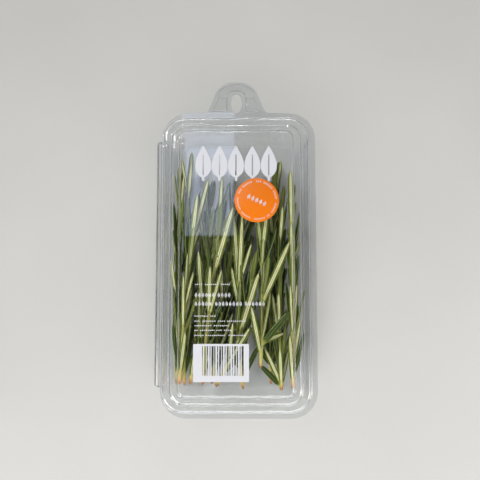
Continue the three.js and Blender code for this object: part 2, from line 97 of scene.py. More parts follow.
def add_primitive(name, operator, **settings):
    deselect_all()
    operator(**settings)
    obj = bpy.context.object
    obj.name = name
    return obj


def make_active(obj):
    deselect_all()
    obj.select_set(True)
    bpy.context.view_layer.objects.active = obj


def edit(obj, mode="VERT"):
    make_active(obj)
    bpy.ops.object.mode_set(mode="EDIT")
    bpy.ops.mesh.select_mode(type=mode)
    return bmesh.from_edit_mesh(obj.data)


def leave_edit():
    bpy.ops.object.mode_set(mode="OBJECT")


def select_mesh():
    bpy.ops.mesh.select_all(action="SELECT")


def select_only(obj, bm, verts=(), edges=(), faces=()):
    for group in (bm.verts, bm.edges, bm.faces):
        for item in group:
            item.select = False
    for item in (*verts, *edges, *faces):
        item.select_set(True)
    bmesh.update_edit_mesh(obj.data)


def shift(x, y, z):
    bpy.ops.transform.translate(value=mm(x, y, z))


def stretch(x, y, z, about=(0, 0, 0)):
    """Scales what is selected about a point in millimetres."""
    bpy.ops.transform.resize(value=(x, y, z), center_override=mm(*about))


def extrude(x, y, z):
    bpy.ops.mesh.extrude_region_move(TRANSFORM_OT_translate={"value": mm(x, y, z)})


def slice_mesh(point, normal, **settings):
    """Cuts the whole mesh by a plane through a point in millimetres."""
    select_mesh()
    bpy.ops.mesh.bisect(plane_co=mm(*point), plane_no=normal, **settings)


def bake_place(obj):
    """Moves the object's place, turn and size into its mesh."""
    make_active(obj)
    bpy.ops.object.transform_apply(location=True, rotation=True, scale=True)


def modify(obj, kind, **settings):
    make_active(obj)
    modifier = obj.modifiers.new(kind, kind)
    for key, value in settings.items():
        setattr(modifier, key, value)
    bpy.ops.object.modifier_apply(modifier=modifier.name)


def boolean(obj, tool, operation):
    modify(obj, "BOOLEAN", object=tool, operation=operation, solver="EXACT")
    bpy.data.objects.remove(tool)


def join(name, parts):
    deselect_all()
    for part in parts:
        part.select_set(True)
    bpy.context.view_layer.objects.active = parts[0]
    bpy.ops.object.join()
    parts[0].name = name
    parts[0].data.name = name
    return parts[0]


def smooth(obj, degrees=35):
    make_active(obj)
    bpy.ops.object.shade_smooth_by_angle(angle=math.radians(degrees))


def smooth_sheet(obj):
    """Smooth folds beside faces that stay truly flat."""
    smooth(obj)
    modify(obj, "WEIGHTED_NORMAL", mode="FACE_AREA", weight=100, keep_sharp=True)


def dress(obj, *materials):
    obj.data.materials.clear()
    for material in materials:
        obj.data.materials.append(material)


def copy_of(obj):
    twin = obj.copy()
    twin.data = obj.data.copy()
    bpy.context.collection.objects.link(twin)
    return twin


def move(obj, x, y, turn=0.0):
    """Turns a finished piece about the vertical and moves it, in millimetres, within its mesh."""
    make_active(obj)
    obj.rotation_euler = (0, 0, math.radians(turn))
    obj.location = mm(x, y, 0)
    bake_place(obj)
    return obj


def repeat(pattern, places):
    """Copies a finished piece to each (x, y) or (x, y, turn); the pattern itself goes."""
    twins = [move(copy_of(pattern), *place) for place in places]
    bpy.data.objects.remove(pattern)
    return twins


# ---- materials ----
# Size of each pattern's cells on the real thing, in millimetres.
GRAIN = dict(sheet_wave=40.0, ink=0.5, paper_fibre=0.7, leaf_felt=0.45, leaf_blotch=3.5, bark=1.1,
             wood=0.5, floor_cloud=120.0)


def linear(hex_colour):
    """The linear colour of an sRGB hex value."""
    values = [int(hex_colour[i:i + 2], 16) / 255 for i in (1, 3, 5)]
    return [v / 12.92 if v <= 0.04045 else ((v + 0.055) / 1.055) ** 2.4 for v in values] + [1.0]


def new_material(name):
    material = bpy.data.materials.new(name)
    material.use_nodes = True
    material.node_tree.nodes.clear()
    return material, material.node_tree


def add_node(tree, kind, links=None, out=0, stops=(), **settings):
    """One shader node with its settings, links and colour stops; gives back one of its outputs.

    A link is a socket to join or a value to set. A stop is a place and a hex colour or a value.
    """
    node = tree.nodes.new("ShaderNode" + kind)
    for key, value in settings.items():
        setattr(node, key, value)
    for key, value in (links or {}).items():
        if isinstance(value, bpy.types.NodeSocket):
            tree.links.new(value, node.inputs[key])
        else:
            node.inputs[key].default_value = value
    elements = node.color_ramp.elements if stops else ()
    while len(elements) < len(stops):
        elements.new(0.5)
    for element, (position, colour) in zip(elements, stops):
        element.position = position
        element.color = linear(colour) if isinstance(colour, str) else (colour, colour, colour, 1.0)
    return node.outputs[out] if node.outputs else None


def cells(size):
    """The noise scale that makes cells of a size in the GRAIN list, on the object's own metres."""
    return 1 / (GRAIN[size] * MM)


def clear_pet():
    """Thermoformed PET sheet: water clear and glossy, a little wavy where it was drawn."""
    material, tree = new_material("clear_thermoformed_pet")
    where = add_node(tree, "TexCoord", out="Object")
    wave = add_node(tree, "TexNoise", {"Vector": where, "Scale": cells("sheet_wave"), "Detail": 0.0})
    edge = add_node(tree, "LayerWeight", {"Blend": 0.35}, out="Facing")
    shader = add_node(tree, "BsdfPrincipled", {
        "Base Color": add_node(tree, "ValToRGB", {"Fac": edge},
                               stops=((0.25, "#FCFDFE"), (0.5, "#C6CDD3"), (0.85, "#6C7680"))),
        "Roughness": 0.02, "IOR": 1.575, "Transmission Weight": 1.0,
        "Normal": add_node(tree, "Bump", {"Height": wave, "Strength": 0.025, "Distance": 0.1 * MM}),
    })
    path = add_node(tree, "LightPath").node.outputs
    lit_through = add_node(tree, "Math", {0: path["Is Shadow Ray"], 1: path["Is Diffuse Ray"]},
                           operation="MAXIMUM")
    passing = add_node(tree, "BsdfTransparent", {"Color": linear("#FBFCFC")})
    mixed = add_node(tree, "MixShader", {0: lit_through, 1: shader, 2: passing})
    add_node(tree, "OutputMaterial", {"Surface": mixed})
    return material


def water():
    """Fresh water: clear, smooth and strongly glinting in small beads."""
    material, tree = new_material("water_beads")
    shader = add_node(tree, "BsdfPrincipled", {
        "Base Color": linear("#FFFFFF"), "Roughness": 0.0, "IOR": 1.333, "Transmission Weight": 1.0,
    })
    add_node(tree, "OutputMaterial", {"Surface": shader})
    return material


def grainy_material(name, size, stops, detail=2.0, mix=0.5, relief=None, **finish):
    """A material with a fine grain in its colour and, given a relief, in its surface."""
    material, tree = new_material(name)
    where = add_node(tree, "TexCoord", out="Object")
    grain = add_node(tree, "TexNoise", {
        "Vector": where, "Scale": cells(size), "Detail": detail, "Roughness": mix,
    })
    sockets = {"Base Color": add_node(tree, "ValToRGB", {"Fac": grain}, stops=stops)}
    if relief:
        strength, depth = relief
        sockets["Normal"] = add_node(tree, "Bump", {
            "Height": grain, "Strength": strength, "Distance": depth * MM,
        })
    for socket, value in finish.items():
        sockets[socket.replace("_", " ")] = value
    add_node(tree, "OutputMaterial", {"Surface": add_node(tree, "BsdfPrincipled", sockets)})
    return material


BLEND = dict(out=2, data_type="RGBA")
MULTIPLY = dict(out=2, data_type="RGBA", blend_type="MULTIPLY")
# Colours round a leaf, from its midrib (0) over the rolled margin (0.5) to the groove on top (1).
PALE_LEAF = ((0.0, "#5A5A2E"), (0.025, "#74743F"), (0.055, "#E2DEB2"), (0.16, "#ECE8BE"), (0.2, "#C9C688"),
             (0.235, "#7E8530"), (0.3, "#5F6A1C"), (0.42, "#53631A"), (0.54, "#86933C"), (0.64, "#3F5012"),
             (0.85, "#24340A"), (0.93, "#2E3E0E"), (1.0, "#6B7A30"))
GREEN_LEAF = ((0.0, "#4A521A"), (0.035, "#586020"), (0.08, "#868A46"), (0.15, "#8C8F4A"), (0.21, "#5F6A1E"),
              (0.33, "#4A5815"), (0.54, "#7A8736"), (0.64, "#3F5012"), (0.85, "#24340A"), (0.93, "#2E3E0E"),
              (1.0, "#6B7A30"))


def rosemary_leaf():
    """Fresh rosemary leaf: dark leathery top, green rolled margins and a pale felted underside."""
    material, tree = new_material("rosemary_leaf")
    across, along, tone = (add_node(tree, "Attribute", out="Fac", attribute_name=name)
                           for name in ("across", "along", "tone"))
    where = add_node(tree, "TexCoord", out="Object")
    stretched = add_node(tree, "Mapping", {"Vector": where, "Scale": (1.0, 0.35, 1.0)})
    felt = add_node(tree, "TexNoise", {
        "Vector": where, "Scale": cells("leaf_felt"), "Detail": 3.0, "Roughness": 0.65,
    })
    blotch = add_node(tree, "TexNoise", {"Vector": stretched, "Scale": cells("leaf_blotch"), "Detail": 3.0})
    green, pale, paleness, grain, blotches, root, tip, roughness = (
        add_node(tree, "ValToRGB", {"Fac": value}, stops=stops) for value, stops in (
            (across, GREEN_LEAF), (across, PALE_LEAF), (tone, ((0.25, 0.0), (0.65, 1.0))),
            (felt, ((0.3, 0.82), (0.7, 1.0))), (blotch, ((0.3, 0.8), (0.7, 1.0))),
            (along, ((0.02, 1.0), (0.17, 0.0))), (along, ((0.97, 0.0), (1.0, 0.6))),
            (across, ((0.3, 0.8), (0.75, 0.38)))))
    section = add_node(tree, "Mix", {0: paleness, 6: green, 7: pale}, **BLEND)
    shade = add_node(tree, "Mix", {0: 1.0, 6: grain, 7: blotches}, **MULTIPLY)
    mottled = add_node(tree, "Mix", {0: 1.0, 6: section, 7: shade}, **MULTIPLY)
    rooted = add_node(tree, "Mix", {0: root, 6: mottled, 7: linear("#B7B654")}, **BLEND)
    tipped = add_node(tree, "Mix", {0: tip, 6: rooted, 7: linear("#8C7B3C")}, **BLEND)
    shader = add_node(tree, "BsdfPrincipled", {
        "Base Color": tipped, "Roughness": roughness,
        "Normal": add_node(tree, "Bump", {"Height": felt, "Strength": 0.35, "Distance": 0.06 * MM}),
        "Specular IOR Level": 0.22, "Sheen Weight": 0.04, "Sheen Roughness": 0.5, "Subsurface Weight": 0.08,
        "Subsurface Radius": (0.4, 0.9, 0.2), "Subsurface Scale": 0.4 * MM,
    })
    add_node(tree, "OutputMaterial", {"Surface": shader})
    return material


def rosemary_stem():
    """Young rosemary wood: yellow-green downy bark, browner towards its root, tan at the cut."""
    material, tree = new_material("rosemary_stem")
    along = add_node(tree, "Attribute", out="Fac", attribute_name="along")
    where = add_node(tree, "TexCoord", out="Object")
    lengthways = add_node(tree, "Mapping", {"Vector": where, "Scale": (1.0, 0.12, 1.0)})
    streak = add_node(tree, "TexNoise", {"Vector": lengthways, "Scale": cells("bark"), "Detail": 3.0})
    bark = add_node(tree, "ValToRGB", {"Fac": along}, stops=(
        (0.0, "#C4864C"), (0.02, "#D3A162"), (0.045, "#CDBB6C"), (0.13, "#B9B45C"), (0.4, "#8E8742"),
        (0.8, "#7E8740"), (1.0, "#748A38")))
    shade = add_node(tree, "ValToRGB", {"Fac": streak}, stops=((0.25, 0.6), (0.7, 1.0)))
    shader = add_node(tree, "BsdfPrincipled", {
        "Base Color": add_node(tree, "Mix", {0: 1.0, 6: bark, 7: shade}, **MULTIPLY),
        "Roughness": 0.62, "Sheen Weight": 0.25, "Sheen Roughness": 0.45,
        "Normal": add_node(tree, "Bump", {"Height": streak, "Strength": 0.5, "Distance": 0.15 * MM}),
    })
    add_node(tree, "OutputMaterial", {"Surface": shader})
    return material


# ---- the formed sheets of the pack ----
def grown(outline, amount):
    return dict(left=outline["left"] - amount, right=outline["right"] + amount,
                half_y=outline["half_y"] + amount, radius=outline["radius"] + amount)


def corner_centre(outline, sx, sy):
    r = outline["radius"]
    x = outline["right"] - r if sx > 0 else outline["left"] + r
    return x, sy * (outline["half_y"] - r)


def start_sheet(name, outline, z):
    """A flat face with rounded corners, selected and in edit mode."""
    obj = add_primitive(name, bpy.ops.mesh.primitive_plane_add, size=2)
    edit(obj)
    select_mesh()
    stretch((outline["right"] - outline["left"]) / 2 * MM, outline["half_y"] * MM, 1)
    shift((outline["left"] + outline["right"]) / 2, 0, z)
    bpy.ops.mesh.bevel(offset=outline["radius"] * MM, segments=CORNER_SEGMENTS, affect="VERTICES")
    select_mesh()
    return obj


def lay_ring(obj, old, new, rise, first=False):
    """Draws the face in selection on to the next rounded outline, rise millimetres higher."""
    if first:
        bpy.ops.mesh.inset(thickness=RIM_INSET * MM, use_even_offset=True)
        old = grown(old, -RIM_INSET)
    else:
        bpy.ops.mesh.extrude_region_move()
    bm = bmesh.from_edit_mesh(obj.data)
    face = max((f for f in bm.faces if f.select), key=lambda f: len(f.verts))
    middle = (old["left"] + old["right"]) / 2 * MM
    scale = new["radius"] / old["radius"]
    for sx in (1, -1):
        for sy in (1, -1):
            quarter = [v for v in face.verts if (v.co.x - middle) * sx > 0 and v.co.y * sy > 0]
            select_only(obj, bm, verts=quarter)
            x0, y0 = corner_centre(old, sx, sy)
            x1, y1 = corner_centre(new, sx, sy)
            stretch(scale, scale, 1, about=(x0, y0, 0))
            shift(x1 - x0, y1 - y0, rise)
    bm = bmesh.from_edit_mesh(obj.data)
    select_only(obj, bm, faces=[max(bm.faces, key=lambda f: len(f.verts))])


def form_sheet(name, rim_z, rings):
    """A drawn sheet: the rim, then each (outline, z) towards the middle."""
    obj = start_sheet(name, FLANGE, rim_z)
    old, old_z = FLANGE, rim_z
    for i, (outline, z) in enumerate(rings):
        lay_ring(obj, old, outline, z - old_z, first=(i == 0))
        old, old_z = outline, z
    leave_edit()
    return obj


def cut_lines(obj):
    """Adds the edges that the hang tab and the hinge leg are drawn from."""
    for point, normal in (((TAB_BASE_HALF, 0, 0), (1, 0, 0)), ((-TAB_BASE_HALF, 0, 0), (1, 0, 0)),
                          ((0, HINGE_HALF_LENGTH, 0), (0, 1, 0)), ((0, -HINGE_HALF_LENGTH, 0), (0, 1, 0))):
        edit(obj)
        slice_mesh(point, normal)
        leave_edit()


def select_rim(obj, inside, least_run=0.0):
    """Selects the open edges that lie inside a place and run far enough along x."""
    bm = edit(obj, "EDGE")
    edges = [e for e in bm.edges if e.is_boundary and all(inside(v.co / MM) for v in e.verts)]
    select_only(obj, bm, edges=[e for e in edges if abs(e.verts[0].co.x - e.verts[1].co.x) >= least_run * MM])


def draw_tab(obj):
    """Draws the hang tab from the middle of the rim's far edge, row by row."""
    y, half = FLANGE["half_y"], TAB_BASE_HALF
    select_rim(obj, lambda p: p.y > y - SLACK and abs(p.x) < half + SLACK)
    for next_y, next_half in TAB_ROWS:
        extrude(0, next_y - y, 0)
        stretch(next_half / half, 1, 1)
        y, half = next_y, next_half
    leave_edit()


def draw_hinge_leg(obj, side):
    """Draws one arched leg of the hinge from the rim's left edge to the crease and closes its ends.

    The tray's leg is thickened outwards, so its arch is drawn smaller by a sheet's thickness.
    """
    x, z, half = FLANGE["left"], 0.0, HINGE_HALF_LENGTH
    select_rim(obj, lambda p: p.x < FLANGE["left"] + SLACK and abs(p.y) < HINGE_HALF_LENGTH + SLACK)
    scale = 1 if side > 0 else 1 - SHEET / HINGE_ARCH["half_width"]
    for row_x, row_z, next_half in HINGE_ROWS:
        next_x = HINGE_ARCH["middle"] + (row_x - HINGE_ARCH["middle"]) * scale
        next_z = row_z * scale
        extrude(next_x - x, 0, side * (next_z - z))
        stretch(1, next_half / half, 1)
        x, z, half = next_x, next_z, next_half
    leave_edit()
    low, high = min(row[2] for row in HINGE_ROWS) - 0.2, HINGE_HALF_LENGTH + SLACK
    for sy in (1, -1):
        select_rim(obj, lambda p: p.x < FLANGE["left"] + SLACK and low < sy * p.y < high, least_run=0.05)
        bpy.ops.mesh.edge_face_add()
        leave_edit()


def oval_block(name, x, y, half_x, half_y, low, high):
    """An upright block of oval section between two heights."""
    block = add_primitive(name, bpy.ops.mesh.primitive_cylinder_add, vertices=64, radius=MM,
                          depth=(high - low) * MM)
    block.scale = (half_x, half_y, 1)
    block.location = mm(x, y, (low + high) / 2)
    bake_place(block)
    return block


def crescent_block(grow, low, high):
    """The crescent over the hang hole: an arched band with a round lobe at each end."""
    y = CRESCENT["y"]
    (outer_x, outer_y), (inner_x, inner_y) = CRESCENT["outer"], CRESCENT["inner"]
    lobe = (outer_x - inner_x) / 2
    band = oval_block("crescent", 0, y, outer_x + grow, outer_y + grow, low, high)
    edit(band)
    slice_mesh((0, y, 0), (0, 1, 0), use_fill=True, clear_inner=True)
    leave_edit()
    inside = oval_block("inside", 0, y, inner_x - grow, inner_y - grow, low - REACH, high + REACH)
    boolean(band, inside, "DIFFERENCE")
    for side in (1, -1):
        end = oval_block("lobe", side * (outer_x + inner_x) / 2, y, lobe + grow, lobe + grow, low, high)
        boolean(band, end, "UNION")
    return band


def panel_rows(inset):
    """The (half width, y) rows of the tab's outline, moved in by an even inset."""
    points = [Vector((half, y)) for y, half in ((FLANGE["half_y"], TAB_BASE_HALF), *TAB_ROWS)]
    rows, least = [], TAB_PANEL["least"]
    for before, point, after in zip(points, points[1:], points[2:]):
        way = (after - before).normalized()
        rows.append(point + Vector((-way.y, way.x)) * inset)
    return [row for row in rows if row.y > TAB_PANEL["base_y"] + least and row.x > least]


def panel_block(grow, low, high):
    """The raised panel inside the tab's edge, open where the flat arch runs round the hang hole."""
    rows = panel_rows(TAB_PANEL["inset"] - grow)
    block = add_primitive("tab_panel", bpy.ops.mesh.primitive_plane_add, size=2)
    edit(block, "EDGE")
    y0, y1, half = TAB_PANEL["base_y"] - grow, rows[0].y, rows[0].x
    select_mesh()
    stretch(half * MM, (y1 - y0) / 2 * MM, 1)
    shift(0, (y0 + y1) / 2, low)
    lean = (rows[0].x - rows[1].x) / (rows[1].y - rows[0].y)
    bm = bmesh.from_edit_mesh(block.data)
    select_only(block, bm, edges=[min(bm.edges, key=lambda e: sum(v.co.y for v in e.verts))])
    stretch(1 + lean * (y1 - y0) / half, 1, 1)
    bm = bmesh.from_edit_mesh(block.data)
    select_only(block, bm, edges=[max(bm.edges, key=lambda e: sum(v.co.y for v in e.verts))])
    for row, after in zip(rows, rows[1:]):
        extrude(0, after.y - row.y, 0)
        stretch(after.x / row.x, 1, 1)
    leave_edit()
    raise_face(block, high - low)
    half_x = HOLE_ARCH["half_x"] - grow
    outline = dict(left=-half_x, right=half_x, half_y=HOLE_ARCH["half_y"] - grow,
                   radius=half_x * HOLE_ARCH["rounding"])
    arch = start_sheet("hole_arch", outline, low - REACH)
    shift(0, HOLE_ARCH["middle_y"], 0)
    leave_edit()
    raise_face(arch, high - low + 2 * REACH)
    boolean(block, arch, "DIFFERENCE")
    return block


def lean_top(block, high, slope, fillet=0.0):
    """Slopes the wall under a block's flat top and rounds the two folds that this leaves."""
    edit(block)
    select_mesh()
    bpy.ops.mesh.remove_doubles(threshold=BLOCK_WELD * MM)
    bpy.ops.mesh.dissolve_limited(angle_limit=math.radians(1))
    bm = bmesh.from_edit_mesh(block.data)
    rim = [e for e in bm.edges if all(abs(v.co.z - high * MM) < SLACK * MM for v in e.verts)]
    select_only(block, bm, edges=[e for e in rim if e.calc_face_angle(0) > 1])
    bpy.ops.mesh.bevel(offset=slope * MM, segments=1, affect="EDGES", clamp_overlap=True)
    leave_edit()
    if fillet:
        modify(block, "BEVEL", width=fillet * MM, segments=2, limit_method="ANGLE",
               angle_limit=math.radians(30))
    return block


def press_relief(obj, rim_z):
    """Presses the panel and the crescent up out of the lid's tab, hollow underneath.

    A wall at 45 degrees keeps the sheet's thickness when its inner slope is this much shorter.
    """
    shorter = (2 - math.sqrt(2)) * SHEET
    shells, hollows = [], []
    for shape, size in ((panel_block, TAB_PANEL), (crescent_block, CRESCENT)):
        top = rim_z + size["rise"]
        shells.append(lean_top(shape(0, rim_z - SHEET / 2, top), top, size["slope"], TAB_FILLET))
        hollow = shape(-SHEET, rim_z - 2 * REACH, top - SHEET)
        hollows.append(lean_top(hollow, top - SHEET, size["slope"] - shorter))
    for shell in shells:
        boolean(obj, shell, "UNION")
    for hollow in hollows:
        boolean(obj, hollow, "DIFFERENCE")


def flatten_below(obj, z):
    """Brings stray corners back up to the underside of the rim."""
    bm = edit(obj)
    select_only(obj, bm, verts=[v for v in bm.verts if v.co.z < z * MM])
    stretch(1, 1, 0, about=(0, 0, z))
    leave_edit()


def round_folds(obj, folds):
    """Rounds a drawn sheet's folds: those that stand out by one radius and those at the feet by another."""
    out_radius, foot_radius = folds
    weights = obj.data.attributes.new("bevel_weight_edge", "FLOAT", "EDGE")
    bm = bmesh.new()
    bm.from_mesh(obj.data)
    for edge in bm.edges:
        if len(edge.link_faces) == 2 and edge.calc_face_angle(0) > math.radians(FOLD_ANGLE):
            weights.data[edge.index].value = (out_radius if edge.is_convex else foot_radius) / max(folds)
    bm.free()
    modify(obj, "BEVEL", width=max(folds) * MM, segments=FOLD_SEGMENTS, limit_method="WEIGHT")
    obj.data.attributes.remove(obj.data.attributes["bevel_weight_edge"])


def trim_sheet(obj, side, rim_z, folds):
    """Rounds a drawn sheet's folds, draws its tab and hinge leg and gives it its thickness."""
    round_folds(obj, folds)
    cut_lines(obj)
    draw_tab(obj)
    draw_hinge_leg(obj, side)
    modify(obj, "SOLIDIFY", thickness=SHEET * MM, offset=-1, use_even_offset=True)
    if side > 0:
        flatten_below(obj, rim_z - SHEET)
    punch = oval_block("punch", 0, HANG_HOLE["y"], HANG_HOLE["half_x"], HANG_HOLE["half_y"],
                       rim_z - 3 * REACH, rim_z + 3 * REACH)
    boolean(obj, punch, "DIFFERENCE")


def make_lid(material):
    low, middle, top = LID_STEPS
    rim_top = PARTING + RIM_GAP + SHEET
    obj = form_sheet("clear_lid", rim_top, (
        (grown(MOUTH, DRAFT), rim_top), (MOUTH, low), (grown(LEDGE, DRAFT), low), (LEDGE, middle),
        (grown(PANEL, DRAFT), middle), (PANEL, top)))
    trim_sheet(obj, 1, rim_top, LID_FOLDS)
    press_relief(obj, rim_top)
    smooth_sheet(obj)
    dress(obj, material)
    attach(obj, "lid")
    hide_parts("lid")


def make_tray(material):
    rim_top = PARTING - RIM_GAP
    mouth, shoulder, floor = (grown(outline, -CAD_SHEET) for outline in (MOUTH, SHOULDER, FLOOR))
    obj = form_sheet("clear_tray", rim_top, (
        (mouth, rim_top), (grown(shoulder, DRAFT), SHOULDER_Z + CAD_SHEET),
        (grown(shoulder, -DRAFT), SHOULDER_Z + CAD_SHEET), (grown(floor, -FLOOR_DRAFT), SHEET)))
    trim_sheet(obj, -1, rim_top, TRAY_FOLDS)
    smooth_sheet(obj)
    dress(obj, material)
    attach(obj, "tray")
    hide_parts("tray")


# ---- how the rosemary grows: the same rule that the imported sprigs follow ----
LEAF = dict(length=34.0, half_wide=1.7, half_thick=0.55, tilt=19.0, arch=1.2)
STEM = dict(root_radius=1.35, tip_radius=0.75, steps=9)
CLEAR = 0.35                  # least distance kept between two sprigs
WALL_CLEAR = 0.4              # least distance kept to the pack
SAMPLES = 9                   # points along a leaf at which its distances are tested
HALVINGS = 30                 # steps in the search for a stem's point at a given y
# Ways in which a blocked leaf is turned, folded in, shortened, or has its tip lifted.
SIDE_TURNS = (0, 35, -35, 70, -70, 110, -110, 150)
TILT_SCALES = (1, 0.6, 0.3)
LENGTH_SCALES = (1, 0.7)
LIFTS = (0, -1.5, 1.5, -3, 3, -4.5, 4.5, -6, 6)
STRAIGHTENING = 0.6           # of a leaf's tilt in its outer half
FIRST_SEED = 11
# A pair of numbers is the least value and how much more it may be; a turn or roll is a whole spread.
GROWTH = dict(length=(0.86, 0.22), tilt=(0.75, 0.6), width=(0.8, 0.3), turn=30, roll=60, shortening=0.3)
SIDE_LEAF = dict(chance=0.5, rise=2, turn=55, length=0.55, tilt=0.7)
CROWN = dict(leaves=4, drop=1.5, turn=45, length=0.6, tilt=0.55)
YOUNG = dict(seed=501, spacing=3.5, bare=5.0, top=12.0, ceiling=16.0, face_up=0.65, length=(0.5, 0.5),
             tilt=(0.5, 1.5), width=(0.72, 0.28), rise=3, turn=70, roll=60)

# Each sprig: its stem's cut end, two bends and tip; the y of its nodes; the turn of its
# first pair of leaves; and the leaves lying on top, each as (root y, tip x, y, z, width).
SPRIGS = (
    (((-37.4, -76.2, 7.5), (-38.6, -35, 8), (-38, 5, 8), (-36.4, 44, 9)),
     (-66, -45, -24, -4, 15, 32), 80, ((-62, -44.2, -29, 15.5, 0.9),)),
    (((-35.4, -75.9, 14), (-33, -38, 15.5), (-31.5, -2, 16), (-25.4, 26, 16.5)),
     (-47, -24, -3, 13), 20,
     ((-70, -31.7, -44, 19.5, 1), (-44, -33.1, -8.5, 19.5, 0.8), (-28, -27, -6.5, 19, 0.7),
      (-2, -24.6, 43.5, 20.5, 1.15), (17, -17.6, 54, 21, 1), (3, -23.6, 22, 17.5, 0.7))),
    (((-33.2, -77, 4), (-32, -40, 3.8), (-34, 0, 4.5), (-31, 53, 8)),
     (-64, -42, -20, 2, 24, 41), 0, ((30, -38.3, 62, 13, 0.7), (44, -35.6, 68, 14, 0.7))),
    (((-29.1, -75.9, 9.5), (-24, -50, 9), (-19, -20, 9), (-17, 36, 10)),
     (-61, -43, -27, -8, 12, 25), 60, ((-30, -24.1, 7.5, 15.5, 1.1),)),
    (((-20.9, -76.2, 14), (-20, -45, 15), (-14.5, -20, 15.5), (-9.5, 34, 15.5)),
     (-60, -33, -5, 14), 15,
     ((-34, -9.2, -5, 20, 0.9), (-6, -2.2, 34.5, 20.8, 1.3), (8, -9, 56, 18, 0.9))),
    (((-15.9, -76.2, 4.5), (-12, -50, 4), (-4, -20, 4), (-3, 42, 5.5)),
     (-60, -38, -16, 6, 28), 45, ((-38, -9.4, -4.5, 9, 1),)),
    (((-13, -77.6, 10), (-2, -58, 14.5), (6, -40, 16.5), (9.5, -12, 17)),
     (-66, -50, -30), 70, ((-46, 14, -7, 21, 1.35), (-62, -2.2, -38, 20.5, 0.9))),
    (((4.7, -79.1, 8.5), (-1.5, -50, 10), (1.5, -20, 12), (4, 30, 12.5)),
     (-64, -42, -16, 4, 18), 10,
     ((-18, -1.4, 29, 18.5, 1.1), (-17, 3.6, 27, 18.5, 1.1), (-14, 9.4, 11.6, 17.5, 0.8))),
    (((15.1, -65.6, 17.5), (15.6, -45, 18), (16.8, -20, 17.5), (15.5, 18, 17)),
     (-50, -24, -4, 8), 30,
     ((-58, 9.3, -28, 20.5, 1.1), (-52, 33, -31.2, 20.5, 1.2), (-26, 33.4, 12.6, 21, 1.2),
      (-24, 17.2, 4, 21.3, 0.9), (-50, 29.6, -44.5, 15, 1), (3, 20, 38, 20.5, 1.1))),
    (((21.9, -76.2, 4.5), (22, -40, 4), (23, 0, 4.5), (26, 48, 6)),
     (-60, -38, -16, 6, 26, 40), 30, ((10, 21, 44, 11, 1),)),
    (((28.3, -79.7, 10.5), (27.2, -50, 10.5), (26, -20, 10.5), (28.5, 32, 12)),
     (-54, -32, -10, 12, 24), 0,
     ((-76, 17.8, -54, 15.5, 1), (-77, 27.2, -54.5, 15, 1), (-77, 32.4, -56, 12, 0.8),
      (-40, 26.4, -20, 17, 0.9))),
    (((35.3, -78.3, 13.5), (36, -40, 14), (35.6, 0, 14.5), (35, 36, 14.5)),
     (-47, -22, 6, 24), 0,
     ((-76, 33.2, -46, 18.5, 1), (-47, 33.6, -14.5, 18.5, 0.8), (-46, 38.2, -14, 17.5, 0.8),
      (-22, 34.6, 26, 19, 1.2), (22, 34.4, 59, 19, 1.2), (-62, 40.4, -36, 14, 0.8))),
)


# Leaves laid with their dark top up: the sprig, then the leaf's place in its list.
TOP_UP = ((1, 0), (9, 1))
# More leaves low in the bunch: the sprig, whether its dark top is up, then the leaf as above.
LATE_LEAVES = (
    (11, True, (-77.5, 15.2, -64.5, 9, 1.05)), (8, True, (-73, 14.2, -52, 9, 1.0)),
    (4, False, (-73, -25.6, -54, 13, 1.0)), (5, False, (-71, -16.5, -50, 13, 1.1)),
)


class Dice:
    """A repeatable source of numbers from 0 to 1."""

    def __init__(self, seed):
        self.state = seed

    def __call__(self):
        self.state = (self.state * 1664525 + 1013904223) % 4294967296
        return self.state / 4294967296

    def more(self, least, spread):
        return least + spread * self()

    def either_way(self, spread):
        return spread * (self() - 0.5)


def unit(vector):
    return vector / np.linalg.norm(vector)


def along_curve(stem, t):
    a, b, c, d = stem
    k = 1 - t
    return k ** 3 * a + 3 * k * k * t * b + 3 * k * t * t * c + t ** 3 * d


def stem_frame(stem, t):
    """The stem's point, direction and two cross axes at parameter t."""
    a, b, c, d = stem
    k = 1 - t
    along = unit(k * k * (b - a) + 2 * t * k * (c - b) + t * t * (d - c))
    side = unit(np.cross(along, (0, 0, 1)))
    return along_curve(stem, t), along, side, np.cross(side, along)


def stem_parameter(stem, y):
    low, high = 0.0, 1.0
    for _ in range(HALVINGS):
        middle = (low + high) / 2
        if along_curve(stem, middle)[1] < y:
            low = middle
        else:
            high = middle
    return (low + high) / 2


def leaf_along(base, bend, tip, outward, width):
    """A leaf through three points; outward is the side that its pale underside faces."""
    along = unit(tip - base)
    wide = unit(np.cross(along, outward))
    return dict(base=base, bend=bend, tip=tip, wide=wide, thick=unit(np.cross(wide, along)), width=width)


def leaf_point(leaf, s):
    return (1 - s) ** 2 * leaf["base"] + 2 * s * (1 - s) * leaf["bend"] + s * s * leaf["tip"]


class Limbs:
    """Every length of stem and half of a leaf that has grown, as rows of arrays."""

    def __init__(self):
        self.start, self.run, self.wide, self.thick = (np.zeros((0, 3)) for _ in range(4))
        self.sizes = np.zeros((0, 4))   # half width, half thickness, owner, outer half

    def add(self, start, end, wide, thick, *sizes):
        self.start = np.vstack((self.start, start))
        self.run = np.vstack((self.run, end - start))
        self.wide = np.vstack((self.wide, wide))
        self.thick = np.vstack((self.thick, thick))
        self.sizes = np.vstack((self.sizes, sizes))

    def add_leaf(self, leaf, owner):
        middle = leaf_point(leaf, 0.5)
        half_wide = LEAF["half_wide"] * leaf["width"]
        for start, end, outer in ((leaf["base"], middle, 0), (middle, leaf["tip"], 1)):
            self.add(start, end, leaf["wide"], leaf["thick"], half_wide, LEAF["half_thick"], owner, outer)

    def add_stem(self, stem, owner):
        for i in range(STEM["steps"]):
            at, _, side, up = stem_frame(stem, i / STEM["steps"])
            end = along_curve(stem, (i + 1) / STEM["steps"])
            self.add(at, end, side, up, STEM["root_radius"], STEM["root_radius"], owner, 0)


